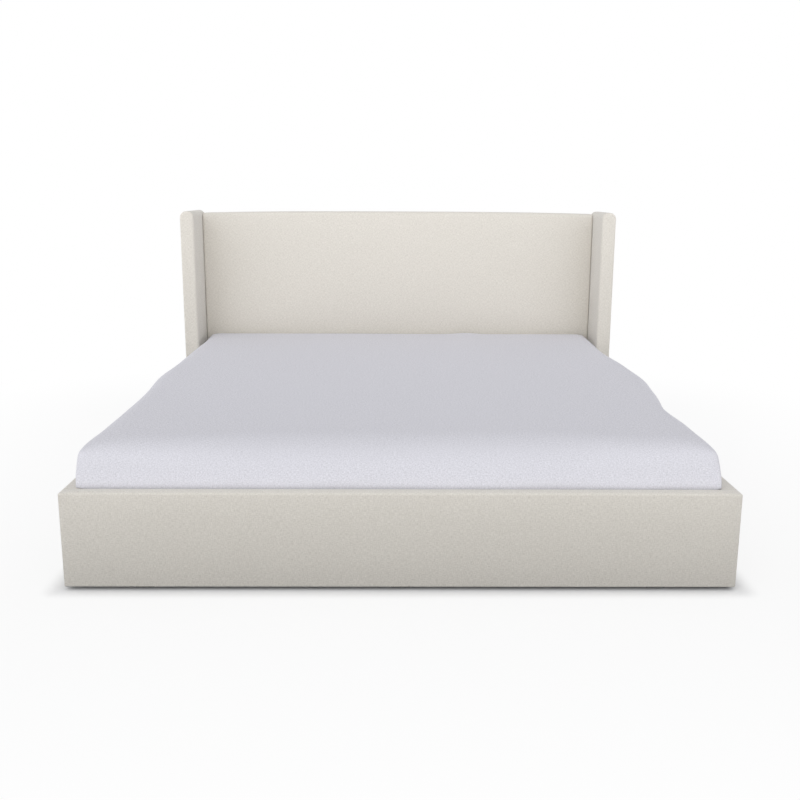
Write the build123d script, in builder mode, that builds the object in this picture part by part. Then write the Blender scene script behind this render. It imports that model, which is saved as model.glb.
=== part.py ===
"""King-size upholstered wing bed with padded rails, sprung slats, a mattress and a tucked-in bed cover.

Millimetres. X runs across the bed, Y from the foot to the head, and Z up.
The origin is on the floor, under the middle of the bed. Left is -X, as seen from the foot.
"""

import os

from build123d import *

os.makedirs("parts", exist_ok=True)

# Mattress, a loose block with rounded corners
mattress_width = 1910.0
mattress_length = 2020.0
mattress_thickness = 262.0
mattress_corner = 60.0
mattress_edge = 28.0
mattress_top_layer = 32.0
mattress_base_layer = 20.0
mattress_border = 40.0

# Bed cover, laid over the mattress and tucked in behind the rails
spread_loft = 12.0
spread_ease = 0.5
spread_tuck = 60.0

# Room around the covered mattress
rail_gap = 12.5
wing_gap = 6.5
foot_gap = 12.0
head_gap = 3.0

# Upholstery fabric, and the room between it and what it wraps
fabric = 1.6
fabric_ease = 0.2

# Padded rails, standing on low glides
rail_height = 310.0
rail_thickness = 50.0
rail_board = 25.0
rail_top_pad = 10.0
rail_end_pad = 10.0
rail_edge = 8.0
rail_end = 6.0
staple_margin = 14.0
glide_height = 12.0
glide_length = 60.0
glide_width = 22.0
glide_chamfer = 2.0
glide_inset = 240.0
wing_glide_inset = 55.0

# Wings, on both sides of the headboard
wing_height = 1098.0
wing_reach = 208.0
wing_proud = 10.0
wing_pad = 14.0
wing_top_pad = 18.0
wing_crown = 30.0
wing_edge = 9.0
wing_back_edge = 4.0
wing_post_gap = 4.0

# Headboard between the wings
headboard_height = 1095.0
headboard_thickness = 90.0
headboard_base = 60.0
headboard_top_pad = 18.0
headboard_front_edge = 24.0
headboard_back_edge = 9.0
headboard_back_turn = 55.0
headboard_pad_drop = 15.0
headboard_ease = 0.3
timber_depth = 36.0
timber_width = 60.0
mid_timber = 45.0
bottom_timber = 140.0
face_panel = 6.0
back_cloth = 1.0
back_cloth_margin = 4.0

# Sprung slats, in two rows, with their ends in moulded holders
platform_height = 220.0
slat_count = 14
slat_width = 68.0
slat_thickness = 8.0
slat_camber = 8.0
slat_seat = 0.3
slat_play = 1.5
slat_end_margin = 48.0
holder_wall = 4.0
holder_floor = 3.2
holder_roof = 3.0
holder_web = 12.0
holder_socket = 30.0
holder_side_play = 0.4
holder_headroom = 2.4
holder_setback = 1.0
peg_length = 12.0
peg_width = 8.0
peg_depth = 15.0
peg_clearance = 0.2

# Ledgers that carry the outer holders
ledger_width = 38.0
ledger_height = 40.0
ledger_margin = 12.0
ledger_chamfer = 2.0
ledger_head_gap = 6.0

# Centre beam and its hangers
beam_width = 40.0
beam_height = 60.0
beam_wall = 2.0
beam_corner = 5.0
beam_play = 0.5
hanger_plate = 3.0
hanger_reach = 48.0
hanger_flange = 28.0
hanger_depth = 46.0

# Centre legs
leg_spacing = 646.0
leg_size = 38.0
leg_wall = 2.0
leg_plug = 22.0
leg_flange = 4.0
leg_flange_length = 96.0
leg_flange_corner = 8.0

# Levelling feet, screwed into the legs
foot_pad_radius = 26.0
foot_pad_height = 8.0
foot_nut_radius = 11.0
foot_nut_height = 8.0
stud_radius = 5.0
stud_length = 34.0
stud_clearance = 0.08

# Corner brackets at the foot
bracket_plate = 3.0
bracket_arm = 76.0
bracket_height = 108.0
bracket_base = 44.0
bracket_bend = 6.0
bracket_hole = 8.4
bracket_hole_inset = 24.0
bracket_hole_margin = 27.0

# Hooks that hang the side rails on the wings
hook_plate_width = 20.0
hook_plate_height = 150.0
hook_plate = 3.0
hook_plate_base = 44.0
hook_thickness = 4.0
hook_reach = 15.0
hook_height = 26.0
hook_drop = 11.0
hook_play = 0.4
hook_spacing = 84.0
hook_pocket = 2.0
hook_lead = 4.0
receiver_plate = 3.0

# Lines across the bed
skin = fabric + fabric_ease
spread_outer = mattress_width / 2 + spread_ease + spread_loft
rail_inner = spread_outer + rail_gap
rail_outer = rail_inner + rail_thickness
wing_inner = spread_outer + wing_gap
wing_outer = rail_outer + wing_proud
board_inner = rail_inner + skin
board_outer = board_inner + rail_board
board_middle = (board_inner + board_outer) / 2
core_inner = wing_inner + skin + wing_pad
core_outer = wing_outer - skin - wing_pad
frame_outer = wing_inner - headboard_ease
holder_length = holder_socket + holder_wall
holder_outer = min(rail_inner, wing_inner) - holder_setback
holder_middle = holder_outer - holder_length / 2
ledger_face = board_inner - ledger_width

# Lines along the bed
bed_length = (
    rail_thickness + foot_gap + spread_loft + spread_ease + mattress_length + head_gap + headboard_thickness
)
y_foot = -bed_length / 2
y_foot_back = y_foot + rail_thickness
y_foot_board = y_foot_back - skin
y_back = bed_length / 2
y_head = y_back - headboard_thickness
y_wing = y_head - wing_reach
y_frame_back = y_back - skin
y_frame_front = y_frame_back - timber_depth
y_panel_front = y_frame_front - face_panel
y_mattress_head = y_head - head_gap
y_mattress_foot = y_mattress_head - mattress_length

# Levels
board_base = glide_height + skin
board_top = rail_height - skin - rail_top_pad
slat_end_top = platform_height - slat_camber
slat_end_bottom = slat_end_top - slat_thickness
socket_floor = slat_end_bottom - slat_seat
socket_roof = socket_floor + slat_thickness + holder_headroom
seat_level = socket_floor - holder_floor
staple_line = seat_level + staple_margin
beam_base = seat_level - beam_height
leg_base = foot_pad_height + foot_nut_height
leg_top = beam_base - leg_flange
mattress_base = platform_height + slat_seat
mattress_top = mattress_base + mattress_thickness
frame_top = headboard_height - skin - headboard_top_pad
pad_base = platform_height - headboard_pad_drop

# Places that repeat
sides = {"left": -1, "right": 1}
legs = {"front": -leg_spacing, "middle": 0.0, "rear": leg_spacing}
slat_pitch = (mattress_length - 2 * slat_end_margin) / (slat_count - 1)
slat_rows = [y_mattress_foot + slat_end_margin + i * slat_pitch for i in range(slat_count)]
bracket_levels = [bracket_base + bracket_hole_margin, bracket_base + bracket_height - bracket_hole_margin]
hook_middle = hook_plate_base + hook_plate_height / 2
hook_levels = [hook_middle - hook_spacing / 2, hook_middle + hook_spacing / 2]


def save(part, name):
    """Labels a finished piece and writes it to its own file."""
    part.label = name
    export_step(part, f"parts/{name}.step")


def block(x, y, z, mode=Mode.ADD):
    """A box given by its two limits along each axis, in either order."""
    with Locations((sum(x) / 2, sum(y) / 2, sum(z) / 2)):
        Box(abs(x[1] - x[0]), abs(y[1] - y[0]), abs(z[1] - z[0]), mode=mode)


def on_side(side, low, high):
    """Limits along X of a piece on the given side of the bed."""
    return side * low, side * high


def soften(edges, radius, inset):
    """Rounds the edges of an outer skin, and bevels those of the layers inside it."""
    if inset:
        chamfer(edges, radius - inset)
    else:
        fillet(edges, radius)


def build_glides():
    """Flat plastic glides under the rails and the wings."""
    core_middle = (core_inner + core_outer) / 2
    foot_reach = rail_outer - glide_inset
    side_spots = [y_foot_back + glide_inset, (y_foot_back + y_wing) / 2, y_wing - glide_inset]
    wing_spots = [y_wing + wing_glide_inset, y_back - wing_glide_inset]
    base = (Align.CENTER, Align.CENTER, Align.MIN)
    with BuildPart() as glides:
        with Locations(*[(x, y_foot_board - rail_board / 2) for x in (-foot_reach, 0, foot_reach)]):
            Box(glide_length, glide_width, glide_height, align=base)
        for side in sides.values():
            with Locations(*[(side * board_middle, y) for y in side_spots]):
                Box(glide_width, glide_length, glide_height, align=base)
            with Locations(*[(side * core_middle, y) for y in wing_spots]):
                Box(glide_width, glide_length, glide_height, align=base)
        chamfer(glides.edges().group_by(Axis.Z)[0], glide_chamfer)
    save(glides.part, "rail_glides")


# Rails


def side_rail_form(side, inset):
    """Side rail with rounded top edges and square ends, pulled in on its long faces by an inset."""
    with BuildPart() as form:
        with BuildSketch(Plane.XZ.offset(-y_foot_back)) as section:
            with Locations((side * (rail_inner + rail_outer) / 2, glide_height + inset)):
                Rectangle(
                    rail_thickness - 2 * inset,
                    rail_height - glide_height - 2 * inset,
                    align=(Align.CENTER, Align.MIN),
                )
            fillet(section.vertices().group_by(Axis.Y)[-1], rail_edge - inset)
        extrude(amount=-(y_wing - y_foot_back))
    return form.part


def foot_rail_form(inset):
    """Foot rail with rounded top edges and rounded ends, pulled in by an inset."""
    with BuildPart() as form:
        with BuildSketch(Plane.YZ.offset(inset - rail_outer)) as section:
            with Locations(((y_foot + y_foot_back) / 2, glide_height + inset)):
                Rectangle(
                    rail_thickness - 2 * inset,
                    rail_height - glide_height - 2 * inset,
                    align=(Align.CENTER, Align.MIN),
                )
            fillet(section.vertices().group_by(Axis.Y)[-1], rail_edge - inset)
        extrude(amount=2 * (rail_outer - inset))
        ends = form.faces().filter_by(Axis.X).edges()
        soften(ends.filter_by(lambda edge: edge.center().Z > glide_height + 2 * skin), rail_end, inset)
    return form.part


def build_side_rail(name, side):
    """Plywood board, foam over its face and top, fabric, and a ledger that passes the wing."""
    run = (y_foot_back, y_wing)
    board_x = on_side(side, board_inner, board_outer)

    with BuildPart() as cover:
        add(side_rail_form(side, 0))
        add(side_rail_form(side, fabric), mode=Mode.SUBTRACT)
        bare = on_side(side, rail_inner - fabric, board_inner)
        block(bare, run, (glide_height + fabric, staple_line), Mode.SUBTRACT)
    save(cover.part, f"side_rail_{name}_cover")

    with BuildPart() as pad:
        add(side_rail_form(side, skin))
        block(board_x, run, (board_base, board_top), Mode.SUBTRACT)
    save(pad.part, f"side_rail_{name}_pad")

    with BuildPart() as board:
        block(board_x, run, (board_base, board_top))
        block(*hook_plate_limits(side, y_wing - hook_plate, y_wing), Mode.SUBTRACT)
    save(board.part, f"side_rail_{name}_board")

    with BuildPart() as ledger:
        levels = (seat_level - ledger_height, seat_level)
        end = y_wing - ledger_margin
        block(on_side(side, ledger_face, board_inner), (y_foot_back + ledger_margin, end), levels)
        block(on_side(side, ledger_face, frame_outer), (end, y_head - ledger_head_gap), levels)
        front = ledger.faces().filter_by(Axis.X).sort_by(lambda face: abs(face.center().X))[0]
        chamfer(front.edges().filter_by(Axis.Y), ledger_chamfer)
        cut_peg_holes(side * holder_middle)
    save(ledger.part, f"ledger_{name}")


def build_foot_rail():
    """The foot rail has the same board, foam and fabric, and padded ends that show at the sides."""
    board_x = rail_outer - skin - rail_end_pad
    board_y = (y_foot_board - rail_board, y_foot_board)

    with BuildPart() as cover:
        add(foot_rail_form(0))
        add(foot_rail_form(fabric), mode=Mode.SUBTRACT)
        bare = board_inner + fabric_ease
        block(
            (-bare, bare),
            (y_foot_board, y_foot_back + fabric),
            (glide_height + fabric, staple_line),
            Mode.SUBTRACT,
        )
    save(cover.part, "foot_rail_cover")

    with BuildPart() as pad:
        add(foot_rail_form(skin))
        block((-board_x, board_x), (board_y[0], y_foot_back), (0, board_top), Mode.SUBTRACT)
    save(pad.part, "foot_rail_pad")

    with BuildPart() as board:
        block((-board_x, board_x), board_y, (board_base, board_top))
    save(board.part, "foot_rail_board")


def build_corner_bracket(name, side):
    """Bent steel angle inside a foot corner, with two square holes for carriage bolts in each arm."""
    outward = Align.MAX if side > 0 else Align.MIN
    with BuildPart() as bracket:
        with BuildSketch(Plane.XY.offset(bracket_base)):
            with Locations((side * board_inner, y_foot_board)):
                Rectangle(bracket_arm, bracket_plate, align=(outward, Align.MIN))
                Rectangle(bracket_plate, bracket_arm, align=(outward, Align.MIN))
        extrude(amount=bracket_height)
        bend = Vector(side * (board_inner - bracket_plate), y_foot_board + bracket_plate, bracket_levels[0])
        fillet(bracket.edges().filter_by(Axis.Z).sort_by_distance(bend)[0], bracket_bend)
        reach = bracket_arm - bracket_hole_inset
        with Locations(*[(side * board_inner, y_foot_board + reach, z) for z in bracket_levels]):
            Box(4 * bracket_plate, bracket_hole, bracket_hole, mode=Mode.SUBTRACT)
        with Locations(*[(side * (board_inner - reach), y_foot_board, z) for z in bracket_levels]):
            Box(bracket_hole, 4 * bracket_plate, bracket_hole, mode=Mode.SUBTRACT)
    save(bracket.part, f"corner_bracket_{name}")


# Hooked joint between a side rail and a wing


def hook_plate_limits(side, y_low, y_high):
    """Limits of the flat plates in the joint, between two positions along the bed."""
    middle = side * board_middle
    half = hook_plate_width / 2
    return (
        (middle - half, middle + half),
        (y_low, y_high),
        (hook_plate_base, hook_plate_base + hook_plate_height),
    )


def hook_slots(side):
    """Limits of the slots in a receiver plate, tall enough to take a whole hook before it drops."""
    half = hook_thickness / 2 + hook_play
    slot_x = (side * board_middle - half, side * board_middle + half)
    lows = [level - hook_height / 2 + hook_drop - hook_play for level in hook_levels]
    return [(slot_x, (low, low + hook_height + 2 * hook_play)) for low in lows]


def build_hooks(name, side):
    """A plate let into the rail's end, with two hooks that hang in the wing's receiver plate."""
    with BuildPart() as hooks:
        block(*hook_plate_limits(side, y_wing - hook_plate, y_wing))
        throat = y_wing + receiver_plate + hook_play
        nose = y_wing + hook_reach
        for level in hook_levels:
            low, high = level - hook_height / 2, level + hook_height / 2
            with BuildSketch(Plane.YZ.offset(side * board_middle)):
                with BuildLine():
                    Polyline(
                        (y_wing, high),
                        (nose - hook_lead, high),
                        (nose, high - hook_lead),
                        (nose, low + hook_lead),
                        (nose - hook_lead, low),
                        (throat, low),
                        (throat, low + hook_drop),
                        (y_wing, low + hook_drop),
                        close=True,
                    )
                make_face()
            extrude(amount=hook_thickness / 2, both=True)
    save(hooks.part, f"hook_plate_{name}")

    with BuildPart() as receiver:
        block(*hook_plate_limits(side, y_wing, y_wing + receiver_plate))
        for x, z in hook_slots(side):
            block(x, (y_wing, y_wing + receiver_plate), z, Mode.SUBTRACT)
    save(receiver.part, f"receiver_plate_{name}")


# Wings


def wing_form(side, inset):
    """A wing with an arched top and softened front and back edges, pulled in by an inset."""
    with BuildPart() as form:
        with BuildSketch(Plane.XZ.offset(-y_wing - inset)) as section:
            with Locations((side * (wing_inner + wing_outer) / 2, glide_height + inset)):
                Rectangle(
                    wing_outer - wing_inner - 2 * inset,
                    wing_height - glide_height - 2 * inset,
                    align=(Align.CENTER, Align.MIN),
                )
            fillet(section.vertices().group_by(Axis.Y)[-1], wing_crown - inset)
        extrude(amount=-(y_back - y_wing - 2 * inset))
        rims = form.faces().filter_by(Axis.Y).sort_by(Axis.Y)
        front = rims[0].edges().filter_by(lambda edge: edge.center().Z > glide_height + 2 * skin)
        rear = rims[-1].edges().filter_by(lambda edge: edge.center().Z > glide_height + 2 * skin)
        soften(front, wing_edge, inset)
        chamfer(rear, wing_back_edge - inset)
    return form.part


def wing_core(side):
    """Laminated panel with a rear post along the headboard and a hard block where the rail hangs."""
    front = y_wing + skin + wing_pad
    rear = y_back - wing_back_edge
    with BuildPart() as core:
        block(
            on_side(side, core_inner, core_outer),
            (front, rear),
            (board_base, wing_height - skin - wing_top_pad),
        )
        block(
            on_side(side, wing_inner + skin, core_inner),
            (y_head + wing_post_gap, rear),
            (board_base, min(frame_top, wing_height - wing_crown)),
        )
        block(
            on_side(side, wing_inner + wing_edge, wing_outer - wing_edge),
            (y_wing + skin, front + wing_pad),
            (board_base, board_top),
        )
        block(*hook_plate_limits(side, y_wing, y_wing + receiver_plate), Mode.SUBTRACT)
        for x, z in hook_slots(side):
            block(
                (x[0] - hook_pocket, x[1] + hook_pocket),
                (y_wing, y_wing + hook_reach + hook_pocket),
                (z[0] - hook_drop - hook_pocket, z[1] + hook_pocket),
                Mode.SUBTRACT,
            )
    return core.part


def build_wing(name, side):
    """Core, foam and fabric of one wing."""
    core = wing_core(side)
    save(core, f"wing_{name}_core")

    # The hook pockets stay free of foam
    with BuildPart() as pad:
        add(wing_form(side, skin))
        add(core, mode=Mode.SUBTRACT)
        block(*hook_plate_limits(side, y_wing, y_wing + 2 * wing_pad), Mode.SUBTRACT)
    save(pad.part, f"wing_{name}_pad")

    with BuildPart() as cover:
        add(wing_form(side, 0))
        add(wing_form(side, fabric), mode=Mode.SUBTRACT)
        x, y, z = hook_plate_limits(side, y_wing, y_wing + skin)
        block(
            (x[0] - fabric_ease, x[1] + fabric_ease),
            y,
            (z[0] - fabric_ease, z[1] + fabric_ease),
            Mode.SUBTRACT,
        )
    save(cover.part, f"wing_{name}_cover")


# Headboard


def headboard_form(inset):
    """The padded part of the headboard, with rounded top edges, pulled in by an inset."""
    low = pad_base - skin + inset
    with BuildPart() as form:
        with BuildSketch(Plane.YZ.offset(-frame_outer)) as section:
            with Locations(((y_head + y_back) / 2, low)):
                Rectangle(
                    headboard_thickness - 2 * inset,
                    headboard_height - inset - low,
                    align=(Align.CENTER, Align.MIN),
                )
            front, rear = section.vertices().group_by(Axis.Y)[-1].sort_by(Axis.X)
            fillet(front, headboard_front_edge - inset)
            fillet(rear, headboard_back_edge - inset)
        extrude(amount=2 * frame_outer)
    return form.part


def build_headboard_frame():
    """Timber frame with a thin face panel. The lowest timber carries the head end of the centre beam."""
    depth = (y_frame_front, y_frame_back)
    stile_inner = frame_outer - timber_width
    bottom_top = headboard_base + bottom_timber
    top_base = frame_top - timber_width
    middle = (bottom_top + top_base) / 2

    for name, side in sides.items():
        with BuildPart() as stile:
            block(on_side(side, stile_inner, frame_outer), depth, (headboard_base, frame_top))
        save(stile.part, f"headboard_stile_{name}")

    with BuildPart() as timber:
        block((-stile_inner, stile_inner), depth, (top_base, frame_top))
    save(timber.part, "headboard_top_timber")

    with BuildPart() as timbers:
        for side in sides.values():
            levels = (middle - mid_timber / 2, middle + mid_timber / 2)
            block(on_side(side, mid_timber / 2, stile_inner), depth, levels)
    save(timbers.part, "headboard_middle_timbers")

    with BuildPart() as stud:
        block((-mid_timber / 2, mid_timber / 2), depth, (bottom_top, top_base))
    save(stud.part, "headboard_centre_stud")

    with BuildPart() as timber:
        block((-stile_inner, stile_inner), depth, (headboard_base, bottom_top))
    save(timber.part, "headboard_bottom_timber")

    with BuildPart() as panel:
        block((-frame_outer, frame_outer), (y_panel_front, y_frame_front), (headboard_base, frame_top))
    save(panel.part, "headboard_face_panel")


def build_headboard_upholstery():
    """Foam over the front and top, fabric turned over the back, and a cloth that closes the back."""
    across = (-frame_outer, frame_outer)
    with BuildPart() as pad:
        add(headboard_form(skin))
        block(across, (y_panel_front, y_back), (0, frame_top), Mode.SUBTRACT)
    save(pad.part, "headboard_pad")

    with BuildPart() as cover:
        add(headboard_form(0))
        add(headboard_form(fabric), mode=Mode.SUBTRACT)
        block(across, (y_panel_front, y_back), (0, headboard_height - headboard_back_turn), Mode.SUBTRACT)
    save(cover.part, "headboard_cover")

    with BuildPart() as cloth:
        reach = frame_outer - back_cloth_margin
        block(
            (-reach, reach),
            (y_frame_back, y_frame_back + back_cloth),
            (headboard_base + back_cloth_margin, headboard_height - headboard_back_turn - back_cloth_margin),
        )
    save(cloth.part, "headboard_back_cloth")


# Slats and their support


def build_slats(name, side):
    """One row of bowed slats, from the centre beam to a ledger."""
    inner = side * (holder_web / 2 + slat_play)
    outer = side * (holder_outer - holder_wall - slat_play)
    middle = (inner + outer) / 2
    crown = slat_end_bottom + slat_camber
    with BuildPart() as slats:
        with BuildSketch(*[Plane.XZ.offset(-y) for y in slat_rows]):
            with BuildLine():
                ThreePointArc((inner, slat_end_top), (middle, platform_height), (outer, slat_end_top))
                Line((outer, slat_end_top), (outer, slat_end_bottom))
                ThreePointArc((outer, slat_end_bottom), (middle, crown), (inner, slat_end_bottom))
                Line((inner, slat_end_bottom), (inner, slat_end_top))
            make_face()
        extrude(amount=slat_width / 2, both=True)
    save(slats.part, f"slats_{name}")


def holder_body(x):
    """Moulded holder between two limits along X, centred on a slat, with a peg below."""
    half = slat_width / 2 + holder_side_play + holder_wall
    with BuildPart() as body:
        block(x, (-half, half), (seat_level, socket_roof + holder_roof))
        with Locations((sum(x) / 2, 0, seat_level)):
            Box(peg_length, peg_width, peg_depth, align=(Align.CENTER, Align.CENTER, Align.MAX))
    return body.part


def cut_peg_holes(x):
    """Sockets for the holders' pegs along a ledger or the beam."""
    length = peg_length + 2 * peg_clearance
    width = peg_width + 2 * peg_clearance
    with Locations(*[(x, y, seat_level) for y in slat_rows]):
        Box(length, width, 2 * (peg_depth + peg_clearance), mode=Mode.SUBTRACT)


def build_slat_holders():
    """A row of single holders on each ledger, and a row of double holders on the centre beam."""
    socket_half = slat_width / 2 + holder_side_play
    socket_y = (-socket_half, socket_half)
    socket_z = (socket_floor, socket_roof)
    places = [(0, y, 0) for y in slat_rows]
    mouth = holder_outer - holder_length
    reach = holder_web / 2 + holder_socket

    for name, side in sides.items():
        with BuildPart() as holder:
            add(holder_body(on_side(side, mouth, holder_outer)))
            block(on_side(side, mouth, holder_outer - holder_wall), socket_y, socket_z, Mode.SUBTRACT)
            uprights = holder.edges().filter_by(Axis.Z)
            chamfer(uprights.sort_by(lambda edge: abs(edge.center().X))[-2:], holder_wall)
        with BuildPart() as row:
            with Locations(*places):
                add(holder.part)
        save(row.part, f"slat_holders_{name}")

    with BuildPart() as holder:
        add(holder_body((-reach, reach)))
        for side in sides.values():
            block(on_side(side, holder_web / 2, reach), socket_y, socket_z, Mode.SUBTRACT)
    with BuildPart() as row:
        with Locations(*places):
            add(holder.part)
    save(row.part, "slat_holders_centre")


def build_beam():
    """Steel tube along the middle of the bed, pierced for the holder pegs."""
    y_low = y_foot_board + hanger_plate + beam_play
    y_high = y_panel_front - hanger_plate - beam_play
    with BuildPart() as beam:
        with BuildSketch(Plane.XZ.offset(-y_low)):
            with Locations((0, (beam_base + seat_level) / 2)):
                RectangleRounded(beam_width, beam_height, beam_corner)
                RectangleRounded(
                    beam_width - 2 * beam_wall,
                    beam_height - 2 * beam_wall,
                    beam_corner - beam_wall,
                    mode=Mode.SUBTRACT,
                )
        extrude(amount=y_low - y_high)
        cut_peg_holes(0)
    save(beam.part, "centre_beam")


def build_hanger(name, y, facing):
    """Pressed steel stirrup with two screw flanges, that the beam's end drops into."""
    inner = beam_width / 2 + beam_play
    outer = inner + hanger_plate
    flange = outer + hanger_flange
    plate = y + facing * hanger_plate
    lip = y + facing * hanger_reach
    levels = (beam_base - hanger_plate, beam_base + hanger_depth)
    with BuildPart() as hanger:
        block((-flange, flange), (y, plate), levels)
        block((-outer, outer), (y, lip), levels)
        block((-inner, inner), (plate, lip), (beam_base, levels[1]), Mode.SUBTRACT)
    save(hanger.part, f"beam_hanger_{name}")


def build_leg(name, y):
    """Square tube leg under the beam, plugged at its foot, with a levelling foot screwed into the plug."""
    inner = leg_size - 2 * leg_wall
    with BuildPart() as leg:
        with BuildSketch(Plane.XY.offset(leg_top)) as plate:
            with Locations((0, y)):
                Rectangle(beam_width, leg_flange_length)
            chamfer(plate.vertices(), leg_flange_corner)
        extrude(amount=leg_flange)
        with BuildSketch(Plane.XY.offset(leg_base)):
            with Locations((0, y)):
                Rectangle(leg_size, leg_size)
        extrude(amount=leg_top - leg_base)
        with BuildSketch(Plane.XY.offset(leg_base + leg_plug)):
            with Locations((0, y)):
                Rectangle(inner, inner)
        extrude(amount=leg_top - leg_base - leg_plug, mode=Mode.SUBTRACT)
        with Locations((0, y, leg_base + leg_plug)):
            Hole(stud_radius + stud_clearance, leg_plug)
    save(leg.part, f"centre_leg_{name}")

    with BuildPart() as foot:
        with Locations((0, y, 0)):
            Cylinder(foot_pad_radius, foot_pad_height, align=(Align.CENTER, Align.CENTER, Align.MIN))
        with BuildSketch(Plane.XY.offset(foot_pad_height)):
            with Locations((0, y)):
                RegularPolygon(foot_nut_radius, 6)
        extrude(amount=foot_nut_height)
        with Locations((0, y, leg_base)):
            Cylinder(stud_radius, stud_length, align=(Align.CENTER, Align.CENTER, Align.MIN))
    save(foot.part, f"levelling_foot_{name}")


# Mattress and bed cover


def spread_form(offset, y_high, base, rounded):
    """The mattress outline grown by an offset, carried on to the head and down to a base level."""
    half = mattress_width / 2 + offset
    with BuildPart() as form:
        block((-half, half), (y_mattress_foot - offset, y_high), (base, mattress_top + offset))
        fillet(form.edges().filter_by(Axis.Z).group_by(Axis.Y)[0], mattress_corner + offset)
        rim = form.faces().sort_by(Axis.Z)[-1].edges().sort_by(Axis.Y)[:-1]
        if rounded:
            fillet(rim, mattress_edge + offset)
        else:
            chamfer(rim, mattress_edge)
    return form.part


def build_bedding():
    """Mattress with foam around its spring chamber, and a soft cap over it that is open at the head."""
    half = mattress_width / 2
    chamber = half - mattress_border
    with BuildPart() as mattress:
        block((-half, half), (y_mattress_foot, y_mattress_head), (mattress_base, mattress_top))
        fillet(mattress.edges().filter_by(Axis.Z), mattress_corner)
        chamfer(mattress.faces().filter_by(Axis.Z).edges(), mattress_edge)
        block(
            (-chamber, chamber),
            (y_mattress_foot + mattress_border, y_mattress_head - mattress_border),
            (mattress_base + mattress_base_layer, mattress_top - mattress_top_layer),
            Mode.SUBTRACT,
        )
    save(mattress.part, "mattress")

    with BuildPart() as spread:
        add(spread_form(spread_ease + spread_loft, y_mattress_head, rail_height - spread_tuck, True))
        add(spread_form(spread_ease, y_head, 0, False), mode=Mode.SUBTRACT)
    save(spread.part, "bed_cover")


build_glides()
for side_name, side_sign in sides.items():
    build_side_rail(side_name, side_sign)
    build_corner_bracket(side_name, side_sign)
    build_hooks(side_name, side_sign)
    build_wing(side_name, side_sign)
    build_slats(side_name, side_sign)
build_foot_rail()
build_headboard_frame()
build_headboard_upholstery()
build_slat_holders()
build_beam()
build_hanger("foot", y_foot_board, 1)
build_hanger("head", y_panel_front, -1)
for leg_name, leg_y in legs.items():
    build_leg(leg_name, leg_y)
build_bedding()
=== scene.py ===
# %% [markdown]
# # An upholstered wing bed
# The CAD model gives every hard part of this bed its place: boards, slats, beam, legs and fittings.
# Blender adds what CAD is poor at: padded fabric with a crown and seams, a soft cover, screws and finishes.
# The model is loaded once, and nothing in it is moved. All sizes here are in metres.

# %% Load the CAD model
import math

import bpy
import numpy as np
from mathutils import Matrix, Vector, noise
from mathutils.bvhtree import BVHTree


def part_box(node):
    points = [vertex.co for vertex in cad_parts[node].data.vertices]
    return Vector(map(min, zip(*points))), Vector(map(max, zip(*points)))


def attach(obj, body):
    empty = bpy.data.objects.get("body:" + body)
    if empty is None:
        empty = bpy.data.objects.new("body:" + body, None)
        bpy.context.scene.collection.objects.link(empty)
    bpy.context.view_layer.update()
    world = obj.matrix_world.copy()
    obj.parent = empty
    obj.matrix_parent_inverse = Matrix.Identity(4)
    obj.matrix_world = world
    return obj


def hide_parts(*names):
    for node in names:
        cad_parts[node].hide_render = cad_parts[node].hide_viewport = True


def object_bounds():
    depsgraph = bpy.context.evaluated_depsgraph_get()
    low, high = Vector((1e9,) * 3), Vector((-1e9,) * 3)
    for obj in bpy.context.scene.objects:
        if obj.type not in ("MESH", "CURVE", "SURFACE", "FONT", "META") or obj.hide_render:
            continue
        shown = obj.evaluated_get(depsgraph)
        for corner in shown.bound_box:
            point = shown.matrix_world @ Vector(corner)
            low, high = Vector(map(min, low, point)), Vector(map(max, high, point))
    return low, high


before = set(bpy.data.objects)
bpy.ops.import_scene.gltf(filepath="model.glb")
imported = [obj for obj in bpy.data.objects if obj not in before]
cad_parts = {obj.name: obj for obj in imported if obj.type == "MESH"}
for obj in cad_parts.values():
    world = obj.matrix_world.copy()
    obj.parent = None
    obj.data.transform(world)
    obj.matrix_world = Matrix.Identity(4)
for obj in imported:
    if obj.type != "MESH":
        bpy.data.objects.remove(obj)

cad_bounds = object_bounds()

# %% [markdown]
# ## Camera
# The bed is seen from its foot, a little above the headboard's top.
# Place, turn and focal length were fitted to the straight edges of the rails and wings,
# so the edges of the model fall on those of the photograph.

# %% Set the camera
camera_place = Vector((-0.029, -3.835, 1.204))
camera_yaw = math.radians(0.50)
camera_pitch = math.radians(12.43)
camera_roll = math.radians(0.24)
camera_lens = 43.02
camera_sensor = 36.0

forward = Vector(
    (
        math.sin(camera_yaw) * math.cos(camera_pitch),
        math.cos(camera_yaw) * math.cos(camera_pitch),
        -math.sin(camera_pitch),
    )
)
level_right = Vector((math.cos(camera_yaw), -math.sin(camera_yaw), 0))
level_up = level_right.cross(forward)
right = math.cos(camera_roll) * level_right + math.sin(camera_roll) * level_up
up = right.cross(forward)

camera = bpy.data.objects.new("camera", bpy.data.cameras.new("camera"))
camera.data.lens = camera_lens
camera.data.sensor_width = camera_sensor
camera.matrix_world = Matrix.Translation(camera_place) @ Matrix((right, up, -forward)).transposed().to_4x4()
bpy.context.scene.collection.objects.link(camera)
bpy.context.scene.camera = camera
print("camera", [round(x, 3) for x in camera_place])

# %% [markdown]
# ## Node helpers
# Shader trees and geometry trees are both built from nodes and links.
# One short function adds a node, sets its options and plugs in its inputs. The others call it for what
# comes back often, so the trees below read as lists of steps.


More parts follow.
